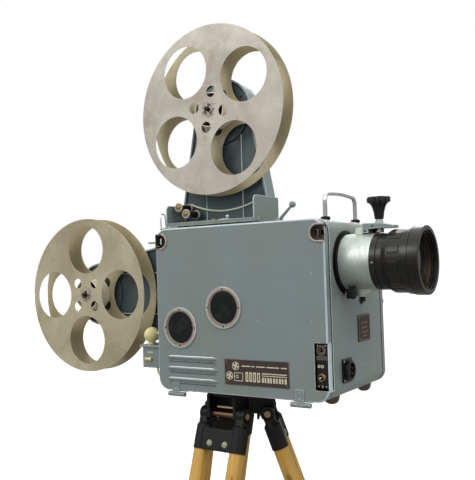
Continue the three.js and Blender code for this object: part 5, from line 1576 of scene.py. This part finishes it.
def build_motor():
    centre = (0, 205, 82)
    profile = [(0, 40), (28, 40), (30, 41), (38, 44), (47, 49), (49, 52), (49, 58), (46.5, 58.6)]
    for i in range(13):
        x = 60 + 9 * i
        profile += [(46.5, x), (50, x + 0.6), (50, x + 5), (46.5, x + 5.6)]
    profile += [(46.5, 180), (49.5, 181), (49.5, 190), (46, 194), (36, 202), (34, 204), (12, 204),
                (9, 205), (9, 216), (5, 216.4), (5, 262), (0, 262)]
    piece("drive_motor_frame", turned("x", centre, profile, 72), IRON, "projector", "black_paint",
          ["drive_motor"])
    pulley = turned("x", centre,
                    [(5.1, 238), (18, 238), (18.6, 239), (14, 244), (18.6, 249), (18, 250), (5.1, 250),
                     (5.1, 238)], 64)
    piece("motor_pulley", pulley, SILVER)
    cradle = [block((x, x + 14), (165, 245), (3.2, 34), 1.5) for x in (70, 150)]
    piece("motor_cradle", together(*cradle), IRON, "projector", "black_paint")
    terminal = block((100, 140), (186, 224), (130, 144), 2)
    piece("motor_terminal_cap", terminal, PLASTIC)


def build_shutter():
    centre = (0, SHUTTER.y, SHUTTER.z)
    sectors = []
    for i in range(2):
        start = 45 + 180 * i
        outer = arc((SHUTTER.y, SHUTTER.z), SHUTTER_R + 5, start, start + 90, 24)
        inner = arc((SHUTTER.y, SHUTTER.z), 22, start + 90, start, 16)
        sectors.append(plate("x", outer + inner, (SHUTTER.x - 5, SHUTTER.x + 8), bevel=0))
    disc = turned("x", centre,
                  [(0, SHUTTER.x), (SHUTTER_R - 0.4, SHUTTER.x), (SHUTTER_R, SHUTTER.x + 0.4),
                   (SHUTTER_R, SHUTTER.x + 1.6), (SHUTTER_R - 0.4, SHUTTER.x + 2), (0, SHUTTER.x + 2)],
                  120)
    blade = cut(disc, *sectors)
    hub = turned("x", centre,
                 [(0, SHUTTER.x - 30), (6, SHUTTER.x - 30), (6, SHUTTER.x - 4), (14, SHUTTER.x - 3),
                  (15, SHUTTER.x), (15, SHUTTER.x + 2), (14, SHUTTER.x + 5), (6, SHUTTER.x + 6),
                  (6, SHUTTER.x + 24), (0, SHUTTER.x + 24)], 48)
    piece("shutter_blades", blade, STEEL, "shutter_disc", nodes=["shutter"])
    piece("shutter_hub", hub, BRASS, "shutter_disc")


def build_sound_head():
    drum = turned("y", (196, 0, 66),
                  [(0, 78), (5, 78), (6, 79), (17, 79), (18, 80), (18, 83), (16.6, 84), (16.6, 110),
                   (18, 111), (18, 114), (6, 115), (6, 132), (0, 132)], 64)
    piece("sound_drum", drum, SILVER)
    housing = together(block((214, 246), (88, 131.8), (50, 82), 2.4, 3),
                       rod("x", (0, 100, 66), (206, 216), 7, 0.8, 32))
    piece("sound_optics_housing", housing, IRON, "projector", "black_paint")
    cover_part = block((216, 244), (86.4, 88.4), (52, 80), 0.8)
    piece("sound_optics_cover", cover_part, SILVER)
    places = ((160, 96), (232, 26), (150, 34), (300, 150), (228, 178), (300, 88))
    rollers = [turned("y", (x, 0, z),
                      [(0, 78), (6.4, 78), (7, 79), (7, 82), (5, 83), (5, 111), (7, 112), (7, 115),
                       (3, 116), (3, 132), (0, 132)], 40) for x, z in places]
    piece("film_guide_rollers", together(*rollers), STEEL)
    wires = []
    for i in range(3):
        route = [(60 + 7 * i, 128, 224), (56 + 7 * i, 126, 170 + 4 * i), (70 + 5 * i, 126, 120),
                 (96, 126, 84 + 6 * i), (140, 127, 70 + 6 * i), (166, 128, 68 + 6 * i)]
        wires.append(tube(smooth_path(route, 8), 2.2, 12))
    piece("lamp_wires", together(*wires), RUBBER)
    clips = [block((58, 88), (123, 132), (176, 184), 1), block((120, 126), (123, 132), (66, 92), 1)]
    piece("wire_clips", together(*clips), STEEL)
    switch = block((24, 84), (100, 131.8), (236, 300), 2, 3)
    piece("relay_box", switch, PLASTIC)
    spots = [(x, 100, z) for x in (31, 77) for z in (243, 293)]
    piece("relay_box_screws", screws("y", spots, 2.6, -1, 1), STEEL)
    strip = block((30, 78), (98.6, 100.2), (258, 276), 0.5)
    piece("relay_box_strip", strip, CREAM)


# ---------------------------------------------------------------- tripod

def leg_matrix(angle):
    """From a leg's own frame (hinge at the origin, poles along -Z, outwards +Y) to the case frame."""
    a = math.radians(angle)
    hinge = TRIPOD + Vector((HINGE_RADIUS * math.cos(a), HINGE_RADIUS * math.sin(a), HINGE_Z))
    heading = Matrix.Rotation(math.radians(angle - 90), 4, "Z")
    return Matrix.Translation(hinge) @ (heading @ Matrix.Rotation(math.radians(SPLAY), 4, "X"))


def build_head():
    top = turned("z", TRIPOD, [(0, -12), (70.6, -12), (72, -10.6), (72, -1.4), (71, -0.4), (0, -0.4)],
                 96)
    hub = turned("z", TRIPOD,
                 [(0, -54), (37, -54), (40, -52.6), (42, -49), (42, -16), (46, -12.4), (47, -11),
                  (0, -11)], 72)
    solids = [top, hub]
    rods = []
    for angle in LEGS.values():
        turn = Matrix.Translation(TRIPOD) @ Matrix.Rotation(math.radians(angle - 90), 4, "Z")
        for side in (-1, 1):
            outline = [(10, -52), (10, -2), (58, -2), (66, -5), (73, -8), (74, -11), (74, HINGE_Z)]
            outline += arc((HINGE_RADIUS, HINGE_Z), 14, 0, -170, 16)
            span = sorted((side * 30, side * 37))
            solids.append(moved(plate("x", outline, span, bevel=1.2), turn))
        web = block((-31, 31), (36, 41), (-66, -4), 1)
        solids.append(moved(web, turn))
        rods.append(moved(rod("x", (0, 68, -33), (-30.5, 12), 2.1, 0.3, 20), turn))
    piece("tripod_head_casting", together(*solids), IRON, "projector", "black_cast", ["tripod_head"])
    piece("tripod_head_rods", together(*rods), PALE_ROD)
    screw = turned("z", TRIPOD,
                   [(0, -74), (8, -74), (9, -73), (9, -64), (17, -63), (18, -62), (18, -56), (17, -54),
                    (0, -54)], 6)
    piece("tripod_fixing_bolt", screw, IRON)
    rim_screws = [TRIPOD + Vector((62 * math.cos(a), 62 * math.sin(a), -12))
                  for a in (math.radians(87.9 + 120 * i) for i in range(3))]
    piece("tripod_head_screws", screws("z", rim_screws, 4.4, -1, 1.8), STEEL)


def build_leg(letter, angle):
    place = leg_matrix(angle)
    body, lower = f"leg_{letter}", f"leg_{letter}_lower"

    def add(name, bm, material, nodes=(), on=body, **options):
        nodes = [f"leg_{letter}_{node}" for node in nodes]
        piece(f"leg_{letter}_{name}", moved(bm, place), material, on, nodes=nodes, **options)

    pin = rod("x", (0, 0, 0), (-57.8, 57.8), 5.6, 0.8, 32)
    add("pin", pin, COPPER, ["hinge_pin"])
    caps = [rod("x", (0, 0, 0), sorted((side * 57.2, side * 58.3)), 6.6, 0.4, 40) for side in (-1, 1)]
    add("pin_ends", together(*caps), PIN_END)
    rings = []
    for side in (-1, 1):
        loop = [(5.7, 56.1), (8.6, 56.1), (9.2, 56.5), (9, 57.2), (6.8, 57.6), (5.7, 57.6), (5.7, 56.1)]
        rings.append(turned("x", (0, 0, 0), [(r, side * x) for r, x in loop], 48))
    add("pin_washers", together(*rings), BRONZE, slot="copper")
    solids = [block((-44, 44), (-11, 14), (SOCKET_LOW, -31), 2.6, 3)]
    for side in (-1, 1):
        centre = (side * POLE_X, 0, 0)
        sleeve = [(0, -29.7), (16.3, -29.7), (16.3, SOCKET_LOW), (17.5, SOCKET_LOW),
                  (SOCKET_R, SOCKET_LOW + 0.8), (SOCKET_R, -27.4), (17.4, -26), (12, -17.8),
                  (10.5, -17), (0, -17)]
        solids.append(turned("z", centre, sleeve, 64))
        ear = sorted((side * 38, side * 56))
        solids.append(rod("x", (0, 0, 0), ear, 15, 1.2, 48))
        solids.append(block(ear, (-12, 12), (-30, 2), 2))
    add("socket_casting", together(*solids), IRON, ["socket"], slot="black_cast")
    for side, x in ((-1, -21), (1, 18)):
        bolt = turned("y", (x, 0, -62), [(0, 17.4), (4.2, 16.9), (6, 15.6), (6.8, 13.8), (0, 13.8)], 32)
        inner_bolt = turned("y", (x, 0, -62), [(0, -15), (4.8, -15), (6, -14), (6, -10.8), (0, -10.8)],
                            6)
        add("bolt_left" if side < 0 else "bolt_right", together(bolt, inner_bolt), BOLT)
    for side, name in ((-1, "left_pole"), (1, "right_pole")):
        loop = [(0, -650), (POLE_R - 1, -650), (POLE_R, -649), (POLE_R, -31), (POLE_R - 1, -30),
                (0, -30)]
        pole = turned("z", (side * POLE_X, 0, 0), loop, 56)
        add(f"{name}_wood", pole, WOOD, [name], grain=place @ Matrix.Translation((side * 240, 90, 0)))
    low, high = -654, -604
    collar = [block((-40, 40), (-17, 17), (low, high), 2.4, 3)]
    for side in (-1, 1):
        loop = [(0, low), (17.4, low), (SOCKET_R, low + 0.8), (SOCKET_R, high - 1.2), (17.4, high),
                (16.3, high), (16.3, -650.3), (0, -650.3)]
        collar.append(turned("z", (side * POLE_X, 0, 0), loop, 64))
    guide = block((-15.3, 15.3), (-12.3, 12.3), (low - 5, high + 5), 0)
    collar[0] = cut(collar[0], guide)
    add("collar_casting", together(*collar), IRON, ["collar"], slot="black_cast")
    knob = turned("y", (0, 0, low + 25),
                  [(0, 31), (11, 31), (12.4, 29.6), (12.4, 23), (11, 21.6), (4, 21), (4, 16.8),
                   (0, 16.8)], 8)
    add("collar_clamp_screw", knob, PLASTIC)
    bar = block((-15, 15), (-12, 12), (-LEG_LENGTH + 18, -470), 1.6, 3)
    add("extension_wood", bar, WOOD, ["extension"], lower,
        grain=place @ Matrix.Translation((37, 11, 240)))
    ferrule = block((-16, 16), (-13, 13), (-LEG_LENGTH + 12, -LEG_LENGTH + 66), 1.2)
    add("extension_ferrule", ferrule, IRON, on=lower, slot="black_cast")
    pins = [(0, 13, -LEG_LENGTH + z) for z in (28, 54)]
    add("ferrule_screws", screws("y", pins, 3, 1, 1.2), STEEL, on=lower)
    shoe = turned("z", (0, 0, 0),
                  [(0, 0), (20.6, 0), (22, 1.2), (22, 9), (20.6, 11.4), (17, 12), (12, 15), (10, 22),
                   (0, 22)], 48)
    tilt = Matrix.Translation((0, 0, -LEG_LENGTH)) @ Matrix.Rotation(math.radians(-SPLAY), 4, "X")
    add("shoe_rubber", moved(shoe, tilt), RUBBER, on=lower)


build_mechanism_plate()
build_sprockets()
build_gate()
build_lamp_house()
build_motor()
build_shutter()
build_sound_head()
build_head()
for leg_letter, leg_angle in LEGS.items():
    build_leg(leg_letter, leg_angle)
